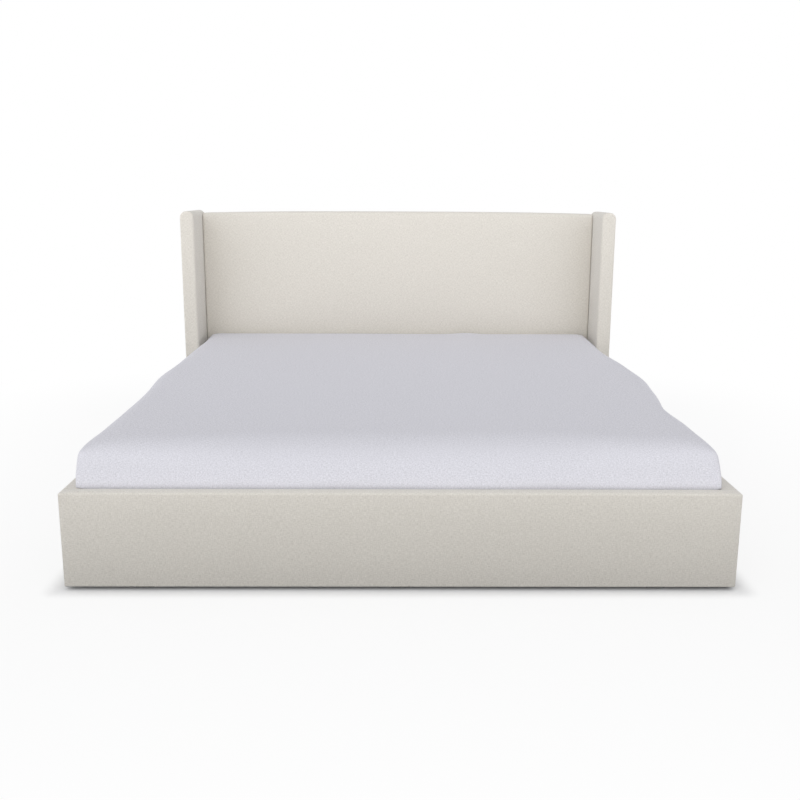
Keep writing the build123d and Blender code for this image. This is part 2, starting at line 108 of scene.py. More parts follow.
# %% Helpers for node trees
def add_node(tree, kind, inputs=None, **options):
    """Adds a node. An input is a plain value, or the output socket that feeds it."""
    node = tree.nodes.new(kind)
    for option, value in options.items():
        setattr(node, option, value)
    for socket, value in (inputs or {}).items():
        if isinstance(value, bpy.types.NodeSocket):
            tree.links.new(value, node.inputs[socket])
        else:
            node.inputs[socket].default_value = value
    return node


def math_node(tree, operation, *values):
    """A Math node's output, with its values in order."""
    return add_node(tree, "ShaderNodeMath", dict(enumerate(values)), operation=operation).outputs[0]


def vector_node(tree, operation, *values, output=0):
    """A Vector Math node's output, with its vectors in order."""
    node = add_node(tree, "ShaderNodeVectorMath", dict(enumerate(values)), operation=operation)
    return node.outputs[output]


def xyz_node(tree, **values):
    """A vector from named X, Y and Z values."""
    return add_node(tree, "ShaderNodeCombineXYZ", values).outputs[0]


def noise_of(tree, place, detail=2.0):
    """A soft random value at a place."""
    inputs = {"Vector": place, "Scale": 1.0, "Detail": detail}
    return add_node(tree, "ShaderNodeTexNoise", inputs).outputs["Fac"]


def placed_group(tree, group, place, **values):
    """A node group in a material's tree, with its place and its own values."""
    node = add_node(tree, "ShaderNodeGroup", node_tree=group)
    tree.links.new(place, node.inputs["Vector"])
    for socket, value in values.items():
        node.inputs[socket.replace("_", " ").title()].default_value = value
    return node.outputs


def grey(level):
    """An opaque grey."""
    return (level, level, level, 1)


def shaded(tree, value, limits, shades):
    """A colour between two shades, by where a value lies between two limits."""
    ramp = add_node(tree, "ShaderNodeValToRGB", {"Fac": value})
    for stop, limit, shade in zip(ramp.color_ramp.elements, limits, shades):
        stop.position = limit
        stop.color = (*shade, 1)
    return ramp.outputs["Color"]


def new_material(name):
    """An empty material and its node tree."""
    material = bpy.data.materials.new(name)
    material.use_nodes = True
    material.node_tree.nodes.clear()
    return material, material.node_tree


def surface(tree, shader):
    """Connects a shader to the material's output."""
    add_node(tree, "ShaderNodeOutputMaterial", {"Surface": shader.outputs[0]})


def skinned(tree, look, height, strength, relief):
    """Ends a material's tree with a surface shader that has a bump from a height."""
    bump = add_node(tree, "ShaderNodeBump", {"Strength": strength, "Distance": relief, "Height": height})
    surface(tree, add_node(tree, "ShaderNodeBsdfPrincipled", {**look, "Normal": bump.outputs["Normal"]}))


print("node helpers ready")

# %% [markdown]
# ## Stage
# The bed stands on a plain pale floor before a white background.
# The floor looks white to the camera, but keeps a soft shadow close to the bed.
# Near the bed it sends back little light, because the padded fronts grow darker towards the floor.

# %% Build the floor
floor_half = 9.0
floor_paper = 0.95
floor_bounce = 0.16
floor_glow = 1.70
floor_white = 0.80
floor_reach = 0.50
floor_fade = 1.2
shadow_edge = 0.07


def stage_rays(tree):
    """1 for the rays that show the background: straight to the camera, mirrored or through glass."""
    light_path = add_node(tree, "ShaderNodeLightPath").outputs
    seen = math_node(tree, "MAXIMUM", light_path["Is Camera Ray"], light_path["Is Glossy Ray"])
    return math_node(tree, "MAXIMUM", seen, light_path["Is Transmission Ray"])


def two_shaders(tree, share, first, second):
    """A mix of two shaders."""
    return add_node(tree, "ShaderNodeMixShader", {0: share, 1: first.outputs[0], 2: second.outputs[0]})


floor_finish, tree = new_material("floor_finish")
place = add_node(tree, "ShaderNodeTexCoord").outputs["Object"]
plan = vector_node(tree, "ABSOLUTE", place)
footprint = (cad_bounds[1][0], cad_bounds[1][1], 0)
beyond = vector_node(tree, "SUBTRACT", plan, footprint)
outside = vector_node(tree, "MAXIMUM", beyond, (0, 0, 0))
distance = vector_node(tree, "LENGTH", outside, output="Value")


def fading(low, high, start=0.0):
    """Rises from a start value to 1 between two distances from the bed."""
    limits = {"Value": distance, "From Min": low, "From Max": high, "To Min": start}
    return add_node(tree, "ShaderNodeMapRange", limits, interpolation_type="SMOOTHSTEP").outputs[0]


far = fading(floor_reach, floor_reach + floor_fade)
near_paper = add_node(tree, "ShaderNodeBsdfDiffuse", {"Color": grey(floor_paper)})
near_dim = add_node(tree, "ShaderNodeBsdfDiffuse", {"Color": grey(floor_bounce)})
white_glow = add_node(tree, "ShaderNodeEmission", {"Strength": 1.0})
soft_glow = add_node(tree, "ShaderNodeEmission", {"Strength": floor_glow})
past_shadow = fading(0.0, shadow_edge)
towards_white = fading(shadow_edge, floor_reach + floor_fade, floor_white)
whiter = math_node(tree, "MULTIPLY", past_shadow, towards_white)
shown = two_shaders(tree, whiter, near_paper, white_glow)
# For light that reaches the bed, the floor is dim near it and glows further out: painted light from below
# on the padded fronts.
lit = two_shaders(tree, far, near_dim, soft_glow)
surface(tree, two_shaders(tree, stage_rays(tree), lit, shown))

floor_mesh = bpy.data.meshes.new("floor")
floor_corners = [(-1, -1, 0), (1, -1, 0), (1, 1, 0), (-1, 1, 0)]
floor_mesh.from_pydata([floor_half * Vector(corner) for corner in floor_corners], [], [(0, 1, 2, 3)])
floor_mesh.materials.append(floor_finish)
floor = bpy.data.objects.new("floor", floor_mesh)
bpy.context.scene.collection.objects.link(floor)
print("floor", 2 * floor_half, "m wide")

# %% [markdown]
# ## Light
# The padded fronts are brighter than the flat top of the cover, so most light comes from the front,
# as from a tall white wall behind the camera, and less from above. A sky that is brighter in those
# directions gives both, and a faint sun with a wide disc adds soft modelling.

# %% Light the stage
sky_level = 0.335
sky_tint = (0.985, 0.99, 1.0, 1)
wall_level = 1.12
wall_spread = 0.8
wall_direction = Vector((-0.08, -1.0, -0.06))
roof_level = 0.43
roof_spread = 1.0
roof_direction = Vector((-0.20, 0.50, 0.80))
key_strength = 0.18
key_softness = math.radians(70)
key_direction = Vector((-0.20, -0.70, 0.55))

world = bpy.data.worlds.new("studio")
world.use_nodes = True
tree = world.node_tree
tree.nodes.clear()
direction = add_node(tree, "ShaderNodeTexCoord").outputs["Generated"]
level = sky_level
for towards, strength, spread in (
    (wall_direction, wall_level, wall_spread),
    (roof_direction, roof_level, roof_spread),
):
    facing = vector_node(tree, "DOT_PRODUCT", direction, towards.normalized(), output="Value")
    glow = math_node(tree, "POWER", math_node(tree, "MAXIMUM", facing, 0.0), spread)
    level = math_node(tree, "MULTIPLY_ADD", glow, strength, level)
sky = add_node(tree, "ShaderNodeBackground", {"Color": sky_tint, "Strength": level})
white = add_node(tree, "ShaderNodeBackground", {"Color": grey(1.0), "Strength": 1.0})
backdrop = two_shaders(tree, stage_rays(tree), sky, white)
add_node(tree, "ShaderNodeOutputWorld", {"Surface": backdrop.outputs[0]})
bpy.context.scene.world = world
bpy.context.scene.view_settings.view_transform = "Standard"

key = bpy.data.objects.new("key_light", bpy.data.lights.new("key_light", "SUN"))
key.data.energy = key_strength
key.data.angle = key_softness
key.rotation_euler = (-key_direction).to_track_quat("-Z", "Y").to_euler()
bpy.context.scene.collection.objects.link(key)
print("sky", sky_level, "wall", wall_level, "roof", roof_level, "key", key_strength)

# %% [markdown]
# ## Weave
# Fabric is threads that pass over and under each other. Its look close up comes from their height,
# and its look from further off comes from slubs, which are thicker and thinner stretches of thread.
# One node group makes both, and every cloth on the bed places it with its own values.
# It reads the piece's UV map, which is laid out in metres, so all pieces have threads of the same size.


# %% Build the weave group
def new_group(name, inputs, outputs):
    """An empty shader group with named float inputs, a vector input and named float outputs."""
    group = bpy.data.node_groups.new(name, "ShaderNodeTree")
    group.interface.new_socket("Vector", in_out="INPUT", socket_type="NodeSocketVector")
    for socket in inputs:
        group.interface.new_socket(socket, in_out="INPUT", socket_type="NodeSocketFloat")
    for socket in outputs:
        group.interface.new_socket(socket, in_out="OUTPUT", socket_type="NodeSocketFloat")
    return group, add_node(group, "NodeGroupInput").outputs


under_height = 0.5
yarn_length = 0.030
yarn_spread = 3.7
yarn_share = 0.30
warp_start, weft_start = 0.5, 900.5
slub_shift = 7.0
slub_relief = 0.8

weave, given = new_group("weave", ["Threads", "Slub Length", "Slub Width"], ["Height", "Tone"])
flat_uv = add_node(weave, "ShaderNodeSeparateXYZ", {0: given["Vector"]}).outputs
counting = {0: given["Vector"], "Scale": given["Threads"]}
threads = add_node(weave, "ShaderNodeVectorMath", counting, operation="SCALE").outputs[0]
across = add_node(weave, "ShaderNodeSeparateXYZ", {0: threads}).outputs
numbers = {axis: math_node(weave, "FLOOR", across[axis]) for axis in "XY"}
over = math_node(weave, "FLOORED_MODULO", math_node(weave, "ADD", numbers["X"], numbers["Y"]), 2.0)
under = math_node(weave, "SUBTRACT", 1.0, over)
heights = []
for axis, on_top in (("X", over), ("Y", under)):
    turn = math_node(weave, "MULTIPLY", across[axis], math.pi)
    crown = math_node(weave, "ABSOLUTE", math_node(weave, "SINE", turn))
    raised = math_node(weave, "MULTIPLY_ADD", on_top, 1 - under_height, under_height)
    heights.append(math_node(weave, "MULTIPLY", crown, raised))
thread_height = math_node(weave, "MAXIMUM", *heights)

shades = []
for count_axis, long_axis, start in (("X", "Y", warp_start), ("Y", "X", weft_start)):
    row = math_node(weave, "MULTIPLY_ADD", numbers[count_axis], yarn_spread, start)
    along = math_node(weave, "DIVIDE", flat_uv[long_axis], yarn_length)
    shades.append(noise_of(weave, xyz_node(weave, X=row, Y=along), detail=1.0))
warp_on_top = math_node(weave, "GREATER_THAN", *heights)
thread_shade = add_node(weave, "ShaderNodeMix", {0: warp_on_top, 2: shades[1], 3: shades[0]}).outputs[0]

slubs = []
for long_axis, short_axis in (("X", "Y"), ("Y", "X")):
    along = math_node(weave, "DIVIDE", flat_uv[long_axis], given["Slub Length"])
    beside = math_node(weave, "DIVIDE", flat_uv[short_axis], given["Slub Width"])
    slubs.append(noise_of(weave, xyz_node(weave, X=along, Y=beside, Z=slub_shift * len(slubs))))
slub_tone = math_node(weave, "MULTIPLY", math_node(weave, "ADD", *slubs), 0.5)
yarn_tone = math_node(weave, "SUBTRACT", thread_shade, 0.5)
tone = math_node(weave, "MULTIPLY_ADD", yarn_tone, yarn_share, slub_tone)
height = math_node(weave, "MULTIPLY_ADD", tone, slub_relief, thread_height)
add_node(weave, "NodeGroupOutput", {"Height": height, "Tone": tone})
print("weave group", len(weave.nodes), "nodes")

# %% Make cloth finishes
tone_limits = (0.3, 0.7)


def cloth_finish(name, dark, light, threads_per_metre, slub, relief, roughness, sheen):
    """A cloth between a darker and a lighter shade, with slubs of a given (length, width)."""
    material, tree = new_material(name)
    uv = add_node(tree, "ShaderNodeUVMap", uv_map="cloth").outputs["UV"]
    sizes = {"threads": threads_per_metre, "slub_length": slub[0], "slub_width": slub[1]}
    threads = placed_group(tree, weave, uv, **sizes)
    look = {
        "Base Color": shaded(tree, threads["Tone"], tone_limits, (dark, light)),
        "Roughness": roughness,
        "Specular IOR Level": 0.25,
        "Sheen Weight": sheen,
        "Sheen Roughness": 0.5,
    }
    skinned(tree, look, threads["Height"], strength=0.6, relief=relief)
    return material


upholstery = cloth_finish(
    "upholstery_fabric",
    dark=(0.610, 0.576, 0.514),
    light=(0.860, 0.824, 0.760),
    threads_per_metre=850,
    slub=(0.0105, 0.0017),
    relief=0.0005,
    roughness=0.92,
    sheen=0.50,
)
linen = cloth_finish(
    "bed_linen",
    dark=(0.552, 0.548, 0.590),
    light=(0.838, 0.832, 0.887),
    threads_per_metre=1600,
    slub=(0.0080, 0.0026),
    relief=0.0003,
    roughness=0.88,
    sheen=0.04,
)
ticking = cloth_finish(
    "mattress_ticking",
    dark=(0.78, 0.77, 0.74),
    light=(0.86, 0.85, 0.82),
    threads_per_metre=1100,
    slub=(0.006, 0.0040),
    relief=0.0004,
    roughness=0.9,
    sheen=0.15,
)
spun_cloth = cloth_finish(
    "back_cloth",
    dark=(0.055, 0.054, 0.052),
    light=(0.105, 0.102, 0.098),
    threads_per_metre=500,
    slub=(0.010, 0.0060),
    relief=0.0002,
    roughness=0.85,
    sheen=0.1,
)
print("cloths", [m.name for m in (upholstery, linen, ticking, spun_cloth)])

# %% [markdown]
# ## Padded shells
# A padded panel is a box whose corners and rims are rounded, each by its own radius, and whose faces
# then swell. Bevels and subdivision could round a box, but can't give each edge a measured radius.
# So the box is ruled with lines, and each point near an edge is moved onto its arc.
# The lines can also run close together where a seam will be pressed in.


# %% Rule a box with lines
def ruled(low, high, step, zones, extra=(), zone_lines=5):
    """Lines a step apart between two limits, closer together in a zone at each end."""
    low_zone, high_zone = zones
    close = [low + low_zone * i / zone_lines for i in range(zone_lines)]
    close += [high - high_zone * i / zone_lines for i in range(zone_lines)]
    start, stop = low + low_zone, high - high_zone
    middle = np.linspace(start, stop, max(1, round((stop - start) / step)) + 1)
    every = np.sort(np.concatenate([close, middle, np.array(extra, float)]))
    return every[np.concatenate([[True], np.diff(every) > 1e-5])]


def ruled_box(order, lines, opening=None):
    """Points, quads and UVs of a box surface. Lines are given per profile axis, then along the run."""
    sizes = [len(run) for run in lines]
    lows = [run[0] for run in lines]
    highs = [run[-1] for run in lines]
    flip = order in ((0, 2, 1), (1, 0, 2), (2, 1, 0))
    seen, points, quads, uvs = {}, [], [], []

    def point(spot):
        if spot not in seen:
            seen[spot] = len(points)
            points.append([lines[axis][spot[axis]] for axis in range(3)])
        return seen[spot]

    def cloth_place(side, place):
        if side == 2:
            return place[0], place[1]
        width, rise = highs[0] - lows[0], highs[1] - lows[1]
        girth = {
            (0, 0): place[1] - lows[1],
            (1, 1): rise + place[0] - lows[0],
            (0, 1): rise + width + highs[1] - place[1],
            (1, 0): -(place[0] - lows[0]),
        }
        return place[2], girth[(side, end)]

    for side in range(3):
        one, two = (side + 1) % 3, (side + 2) % 3
        for end in (0, 1):
            for i in range(sizes[one] - 1):
                for j in range(sizes[two] - 1):
                    corners = []
                    for di, dj in ((0, 0), (1, 0), (1, 1), (0, 1)):
                        spot = [0, 0, 0]
                        spot[side] = (sizes[side] - 1) * end
                        spot[one], spot[two] = i + di, j + dj
                        corners.append(tuple(spot))
                    places = [[lines[axis][spot[axis]] for axis in range(3)] for spot in corners]
                    if opening and opening(side, end, np.mean(places, axis=0)):
                        continue
                    if (end == 0) != flip:
                        corners.reverse()
                        places.reverse()
                    quads.append([point(spot) for spot in corners])
                    uvs.extend(cloth_place(side, place) for place in places)
    return np.array(points), quads, uvs


print("a box ruled in halves has", len(ruled_box((0, 1, 2), [(0, 0.5, 1)] * 3)[0]), "points")


# %% Round its corners and rims
def rounded(grid, lines, corners, rims):
    """Moves box points onto rounded profile corners, then onto rounded rims at the ends of the run."""
    low = np.array([run[0] for run in lines])
    high = np.array([run[-1] for run in lines])
    flat = grid[:, :2].copy()
    run = grid[:, 2].copy()
    from_low, to_high = flat - low[:2], high[:2] - flat
    to_sides = np.stack([from_low[:, 0], to_high[:, 0], from_low[:, 1], to_high[:, 1]], 1)
    nearest = to_sides.argmin(1)
    border = to_sides.min(1)
    inward = np.array([(1.0, 0.0), (-1.0, 0.0), (0.0, 1.0), (0.0, -1.0)])[nearest]

    for (end_a, end_b), radius in corners.items():
        sign = np.array([2 * end_a - 1, 2 * end_b - 1])
        centre = np.where(np.array([end_a, end_b]) == 1, high[:2] - radius, low[:2] + radius)
        out = (flat - centre) * sign
        there = (out > 1e-9).all(1)
        reach = out[there].max(1)
        away = out[there] / np.linalg.norm(out[there], axis=1)[:, None]
        flat[there] = centre + sign * away * reach[:, None]
        border[there] = radius - reach
        inward[there] = -sign * away

    for end, radii in enumerate(rims):
        if radii is None:
            continue
        wide, deep = np.broadcast_to(radii[0], len(grid)), np.broadcast_to(radii[1], len(grid))
        depth = run - low[2] if end == 0 else high[2] - run
        there = (border < wide) & (depth < deep)
        bend = np.stack([1 - border / wide, 1 - depth / deep], 1)[there]
        bend /= np.linalg.norm(bend, axis=1)[:, None]
        moved = wide[there] * (1 - bend[:, 0]) - border[there]
        flat[there] += inward[there] * moved[:, None]
        sunk = deep[there] * (1 - bend[:, 1])
        run[there] = low[2] + sunk if end == 0 else high[2] - sunk
    return np.column_stack([flat, run])


print("rounding ready")


# %% Turn points into a piece
def new_piece(name, points, faces, material, uvs):
    """A smooth mesh object at the origin, with its place in its points and a UV map in metres."""
    mesh = bpy.data.meshes.new(name)
    mesh.from_pydata([tuple(p) for p in points], [], faces)
    layer = mesh.uv_layers.new(name="cloth")
    layer.data.foreach_set("uv", np.array(uvs, np.float32).ravel())
    mesh.polygons.foreach_set("use_smooth", [True] * len(mesh.polygons))
    mesh.materials.append(material)
    piece = bpy.data.objects.new(name, mesh)
    bpy.context.scene.collection.objects.link(piece)
    return piece


def read_points(piece):
    """The piece's points as an array."""
    points = np.empty(len(piece.data.vertices) * 3)
    piece.data.vertices.foreach_get("co", points)
    return points.reshape(-1, 3)


def write_points(piece, points):
    """Puts the points back into the piece."""
    piece.data.vertices.foreach_set("co", points.ravel())
    piece.data.update()


def press_seam(piece, from_seam, depth, width):
    """Presses a sewn line into the cloth, along its normals, by each point's distance from the line."""
    normals = np.empty(len(piece.data.vertices) * 3)
    piece.data.vertex_normals.foreach_get("vector", normals)
    dent = depth * np.exp(-((from_seam / width) ** 2))
    write_points(piece, read_points(piece) - normals.reshape(-1, 3) * dent[:, None])


def padded_shell(name, order, lines, corners, rims, opening=None):
    """A rounded box in upholstery fabric, and the box places of its points. Order names the lines' axes."""
    grid, quads, uvs = ruled_box(order, lines, opening)
    points = rounded(grid, lines, corners, rims)
    back = np.argsort(order)
    piece = new_piece(name, points[:, back], quads, upholstery, uvs)
    return piece, grid[:, back]


def eased(share):
    """A smooth step from 0 to 1."""
    share = np.clip(share, 0, 1)
    return share * share * (3 - 2 * share)


def wavy(points, wave, seed):
    """A smooth random height for each point, from -1 to 1, with waves of a given length along each axis."""
    shift = Vector((seed * 3.1, seed * 7.7, seed * 1.9))
    return np.array([noise.noise(Vector(p / wave) + shift) for p in points])


def on_plane(places, axis, level):
    """True for the points that lie on a plane across an axis."""
    return np.abs(places[:, axis] - level) < 1e-6


def settled(piece, body, replaced, thickness=0.0):
    """Gives a piece its cloth thickness, inwards, rounds it, hangs it on its body and hides the model's
    parts that it replaces.
    """
    if thickness:
        wall = piece.modifiers.new("cloth", "SOLIDIFY")
        wall.thickness = thickness
        wall.offset = -1.0
    smooth = piece.modifiers.new("smooth", "SUBSURF")
    smooth.levels = smooth.render_levels = 1
    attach(piece, body)
    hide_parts(*replaced)
    print(piece.name, len(piece.data.polygons), "quads")


X, Y, Z = 0, 1, 2
cloth_thickness = 0.0016
print("shell helpers ready")

# %% [markdown]
# ## Swelling
# Foam pushes the fabric out, and the fabric holds it back where it is sewn or stapled. A formula can give
# a bulge, but a short cloth simulation finds it from those two facts: held points stay, the rest is blown
# out by a light pressure for a second. Foam is firm, so the way that each point may go is limited.

# %% Swell a padded piece with a cloth simulation
swell_frames = 20


def swollen(piece, held, pressure, most):
    """Blows the piece out between its held points, and moves no point further than a limit."""
    trial = bpy.data.objects.new(piece.name + "_trial", piece.data.copy())
    bpy.context.scene.collection.objects.link(trial)
    pins = trial.vertex_groups.new(name="held")
    for share in np.unique(np.round(held, 2)):
        pins.add(np.nonzero(np.round(held, 2) == share)[0].tolist(), float(share), "REPLACE")
    cloth = trial.modifiers.new("cloth", "CLOTH")
    cloth.settings.quality = 5
    cloth.settings.vertex_group_mass = "held"
    cloth.settings.use_pressure = True
    cloth.settings.uniform_pressure_force = pressure
    cloth.settings.effector_weights.gravity = 0
    cloth.collision_settings.use_collision = False
    cloth.point_cache.frame_end = swell_frames
    for frame_number in range(1, swell_frames + 1):
        bpy.context.scene.frame_set(frame_number)
    blown = trial.evaluated_get(bpy.context.evaluated_depsgraph_get())
    start = read_points(piece)
    way = read_points(blown) - start
    bpy.data.objects.remove(trial)
    bpy.context.scene.frame_set(1)
    far = np.maximum(np.linalg.norm(way, axis=1), 1e-9)[:, None]
    write_points(piece, start + way * np.tanh(far / most) * most / far)
    print(piece.name, "swells by up to", round(far.max() * 1000, 1), "mm, kept under", most * 1000)


print("swelling ready")

# %% [markdown]
# ## Side rails and foot rail
# Each rail is a plywood board with foam over its face and top, wrapped in fabric.
# The fabric goes over the top and down inside, and is stapled there, so the board shows below that hem.
# The shell is therefore open on its inner face under the hem.

# %% Make the side rails
hem_level = 0.2145
rail_round = 0.004
base_round = 0.003
rail_swell = 0.0030
rail_pressure = 0.5
rail_wave = 0.22
held_rim = 0.004
crown_fade = 0.04
side_rail_crown = 0.002
side_rail_ripple = 0.0006


def held_edges(places, face, low, high, axes, width=0.012):
    """1 where the fabric is held: off the given face, and along its edges."""
    free = face.astype(float)
    for axis in axes:
        to_edge = np.minimum(places[:, axis] - low[axis], high[axis] - places[:, axis])
        free *= eased((to_edge - held_rim) / width)
    return 1 - free


def top_crown(places, low, high, across, along, rise):
    """How much higher the padding stands along the middle of a rail's top, fading out at its two ends."""
    middle, half = (low[across] + high[across]) / 2, (high[across] - low[across]) / 2
    arch = 1 - ((places[:, across] - middle) / half) ** 2
    to_end = np.minimum(places[:, along] - low[along], high[along] - places[:, along])
    return rise * arch * eased(to_end / crown_fade) * (places[:, Z] > high.z - rail_round)


def padded_rail(name, across, along, runs, rims, inner_end, open_half, crown, ripple, seed):
    """A rail's padding and its box places. Runs are the lines along it, and its inner face is open."""
    low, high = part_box(f"{name}_cover")

    def below_hem(side, end, middle):
        inside = side == 0 and end == inner_end and abs(middle[2]) < open_half
        return inside and low.z + base_round < middle[1] < hem_level

    lines = [
        ruled(low[across], high[across], step=0.008, zones=(rail_round, rail_round)),
        ruled(low.z, high.z, step=0.030, zones=(0.004, rail_round), extra=(hem_level,)),
        runs,
    ]
    corners = {(0, 1): rail_round, (1, 1): rail_round, (0, 0): base_round, (1, 0): base_round}
    rail, places = padded_shell(f"{name}_padding", (across, Z, along), lines, corners, rims, below_hem)
    points = read_points(rail)
    front = on_plane(places, across, (high if inner_end == 0 else low)[across])
    points[front, across] += ripple * wavy(points[front], rail_wave, seed)
    points[:, Z] += top_crown(places, low, high, across, along, crown)
    write_points(rail, points)
    swollen(rail, held_edges(places, front, low, high, (along, Z)), rail_pressure, rail_swell)
    return rail, places


for name, side in (("side_rail_left", -1), ("side_rail_right", 1)):
    low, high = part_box(f"{name}_cover")
    rail, _ = padded_rail(
        name,
        across=X,
        along=Y,
        runs=ruled(low.y, high.y, step=0.040, zones=(0.002, 0.002), zone_lines=2),
        rims=(None, None),
        inner_end=1 if side < 0 else 0,
        open_half=math.inf,
        crown=side_rail_crown,
        ripple=side * side_rail_ripple,
        seed=1 + side,
    )
    rail_nodes = (f"{name}_cover", f"{name}_pad")
    settled(rail, "frame", rail_nodes, cloth_thickness)

# %% Make the foot rail
low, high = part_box("foot_rail_cover")
inner_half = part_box("side_rail_right_board")[0].x
foot_rail_end = 0.004
foot_rail_crown = 0.005
foot_rail_ripple = 0.0008
corner_depth = 0.0010
corner_width = 0.0020
end_round = (foot_rail_end, foot_rail_end)
foot_rail, places = padded_rail(
    "foot_rail",
    across=Y,
    along=X,
    runs=ruled(low.x, high.x, step=0.040, zones=end_round, extra=(-inner_half, inner_half)),
    rims=(end_round, end_round),
    inner_end=1,
    open_half=inner_half,
    crown=foot_rail_crown,
    ripple=foot_rail_ripple,
    seed=5,
)
to_corner = np.maximum(high.x - np.abs(places[:, X]), places[:, Y] - low.y)
press_seam(foot_rail, to_corner, corner_depth, corner_width)
foot_nodes = ("foot_rail_cover", "foot_rail_pad")
settled(foot_rail, "frame", foot_nodes, cloth_thickness)

# %% [markdown]
# ## Wings
# A wing is a tall padded panel. A boxing strip runs up its front edge and over its top,
# and a seam joins the strip to each side panel. The top is rounded across, the front edges are tighter.

# %% Make the wings
wing_crown = 0.030
wing_front = 0.009
wing_back = 0.004
wing_swell = 0.0045
wing_pressure = 1.0
seam_depth = 0.0013
seam_width = 0.0022
bedding_top = 0.52
bedding_fade = 0.1
clear_gap = 0.02
clear_fade = 0.06
headboard_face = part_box("headboard_cover")[0].y

for name, side in (("wing_left", -1), ("wing_right", 1)):
    low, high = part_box(f"{name}_cover")
    lines = [
        ruled(low.x, high.x, step=0.006, zones=(wing_crown, wing_crown), zone_lines=12),
        ruled(low.z, high.z, step=0.030, zones=(0.004, wing_crown), zone_lines=8),
        ruled(low.y, high.y, step=0.025, zones=(wing_front, wing_back), zone_lines=6),
    ]
    corners = {(0, 1): wing_crown, (1, 1): wing_crown, (0, 0): base_round, (1, 0): base_round}
    rims = ((wing_front, wing_front), (wing_back, wing_back))
    wing, places = padded_shell(f"{name}_padding", (X, Z, Y), lines, corners, rims)
    inner = on_plane(places, X, high.x if side < 0 else low.x)
    outer = on_plane(places, X, low.x if side < 0 else high.x)
    off_headboard = eased((headboard_face - clear_gap - places[:, Y]) / clear_fade)
    open_side = off_headboard * eased((places[:, Z] - bedding_top) / bedding_fade)
    held = held_edges(places, outer | inner, low, high, (Y, Z))
    swollen(wing, 1 - (1 - held) * np.where(inner, open_side, 1.0), wing_pressure, wing_swell)
    to_side = np.minimum(places[:, X] - low.x, high.x - places[:, X])
    to_front = np.maximum(to_side, places[:, Y] - low.y)
    to_top = np.maximum(to_side, high.z - places[:, Z])
    press_seam(wing, np.minimum(to_front, to_top), seam_depth, seam_width)
    settled(wing, "frame", (f"{name}_cover", f"{name}_pad"))

# %% [markdown]
# ## Headboard
# The headboard is one plain padded panel between the wings. Its cloth is pulled over the top and
# stapled to the back, and the foam is a little fuller in the middle than at the wings.

# %% Make the headboard
low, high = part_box("headboard_cover")
headboard_front = 0.024
headboard_rear = 0.009
headboard_end = 0.010
headboard_base = 0.010
back_turn = 0.055
edge_fall = 0.009
edge_sink = 0.006
headboard_wave = 0.3
headboard_ripple = 0.0008
headboard_pressure = 0.6
headboard_swell = 0.006
headboard_held = 0.03
swell_start = 0.50
swell_fade = 0.06
panel_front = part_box("headboard_face_panel")[0].y
turn_level = high.z - back_turn
depth_zones = (headboard_front, headboard_rear)
rise_zones = (headboard_base, headboard_front)


def behind_cloth(face, end, middle):
    return middle[0] > panel_front and middle[1] < turn_level


lines = [
    ruled(low.y, high.y, step=0.012, zones=depth_zones, extra=(panel_front,), zone_lines=6),
    ruled(low.z, high.z, step=0.030, zones=rise_zones, extra=(turn_level,), zone_lines=6),
    ruled(low.x, high.x, step=0.040, zones=(0.060, 0.060), zone_lines=16),
]
corners = {(0, 1): headboard_front, (1, 1): headboard_rear, (0, 0): headboard_base}
end_round = (headboard_end, headboard_end)
headboard, places = padded_shell(
    "headboard_padding", (Y, Z, X), lines, corners, (end_round, end_round), behind_cloth
)
points = read_points(headboard)
across_bed = np.abs(places[:, X]) / high.x
rise = (places[:, Z] - low.z) / (high.z - low.z)
depth = (places[:, Y] - low.y) / (high.y - low.y)
points[:, Z] -= edge_fall * across_bed**3 * np.clip(rise, 0, 1) ** 4
points[:, Y] += edge_sink * across_bed**8 * (1 - depth)
points[:, Y] += headboard_ripple * wavy(points, headboard_wave, seed=9) * (1 - depth)
write_points(headboard, points)
front = on_plane(places, Y, low.y)
above_bed = eased((places[:, Z] - swell_start) / swell_fade)
held = held_edges(places, front, low, high, (X, Z), width=headboard_held)
swollen(headboard, 1 - (1 - held) * above_bed, headboard_pressure, headboard_swell)
headboard_nodes = ("headboard_cover", "headboard_pad")
settled(headboard, "frame", headboard_nodes, cloth_thickness)

# %% [markdown]
# ## Bed cover
# The cover is a smooth thick spread. It falls gently towards the foot, rolls softly over the mattress's
# edges, bulges a little over the rails and is tucked in behind them. Its shape starts as a box with
# elliptical rims. Its sides are then let in and out by a few broad swells, which give the wavy side edges
# that show from the foot, and its top is let down. A draped cloth simulation would find other folds on
# every change of a size, but these follow a few measured places.

# %% Shape of the bedding
cover_low, cover_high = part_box("bed_cover")
cover_half = cover_high.x
cover_corner = 0.005
foot_roll_middle = np.array((0.190, 0.150))
foot_roll_corner = np.array((0.110, 0.140))
side_roll_foot = np.array((0.068, 0.085))
side_roll_head = np.array((0.068, 0.049))
corner_blend = 0.24
corner_start = 0.15
corner_reach = 0.40
foot_fall = 0.053
swell_places = np.linspace(-1.0, 1.0, 9)
swell_reach = 0.17
left_swells = np.array((0.039, 0.025, 0.020, 0.013, 0.025, 0.002, -0.006, -0.018, -0.006))
right_swells = np.array((0.026, 0.020, -0.002, 0.027, 0.044, 0.025, -0.010, -0.010, -0.006))
swell_power = 6
least_room = 0.3
hem_blend = 0.003
wing_clear = 0.06
wing_blend = 0.04
rail_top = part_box("foot_rail_cover")[1].z
rail_gap = 0.0015
tuck_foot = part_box("foot_rail_cover")[1].y + rail_gap
tuck_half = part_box("side_rail_right_cover")[0].x - rail_gap
tuck_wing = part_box("wing_right_cover")[0].x - rail_gap
wing_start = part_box("wing_right_cover")[0].y
relax_side = 0.34
relax_foot = 0.36
relax_fade = 0.12
relax_rise = 0.030
relax_rise_fade = 0.06
relax_step = 0.6
relax_rounds = 18


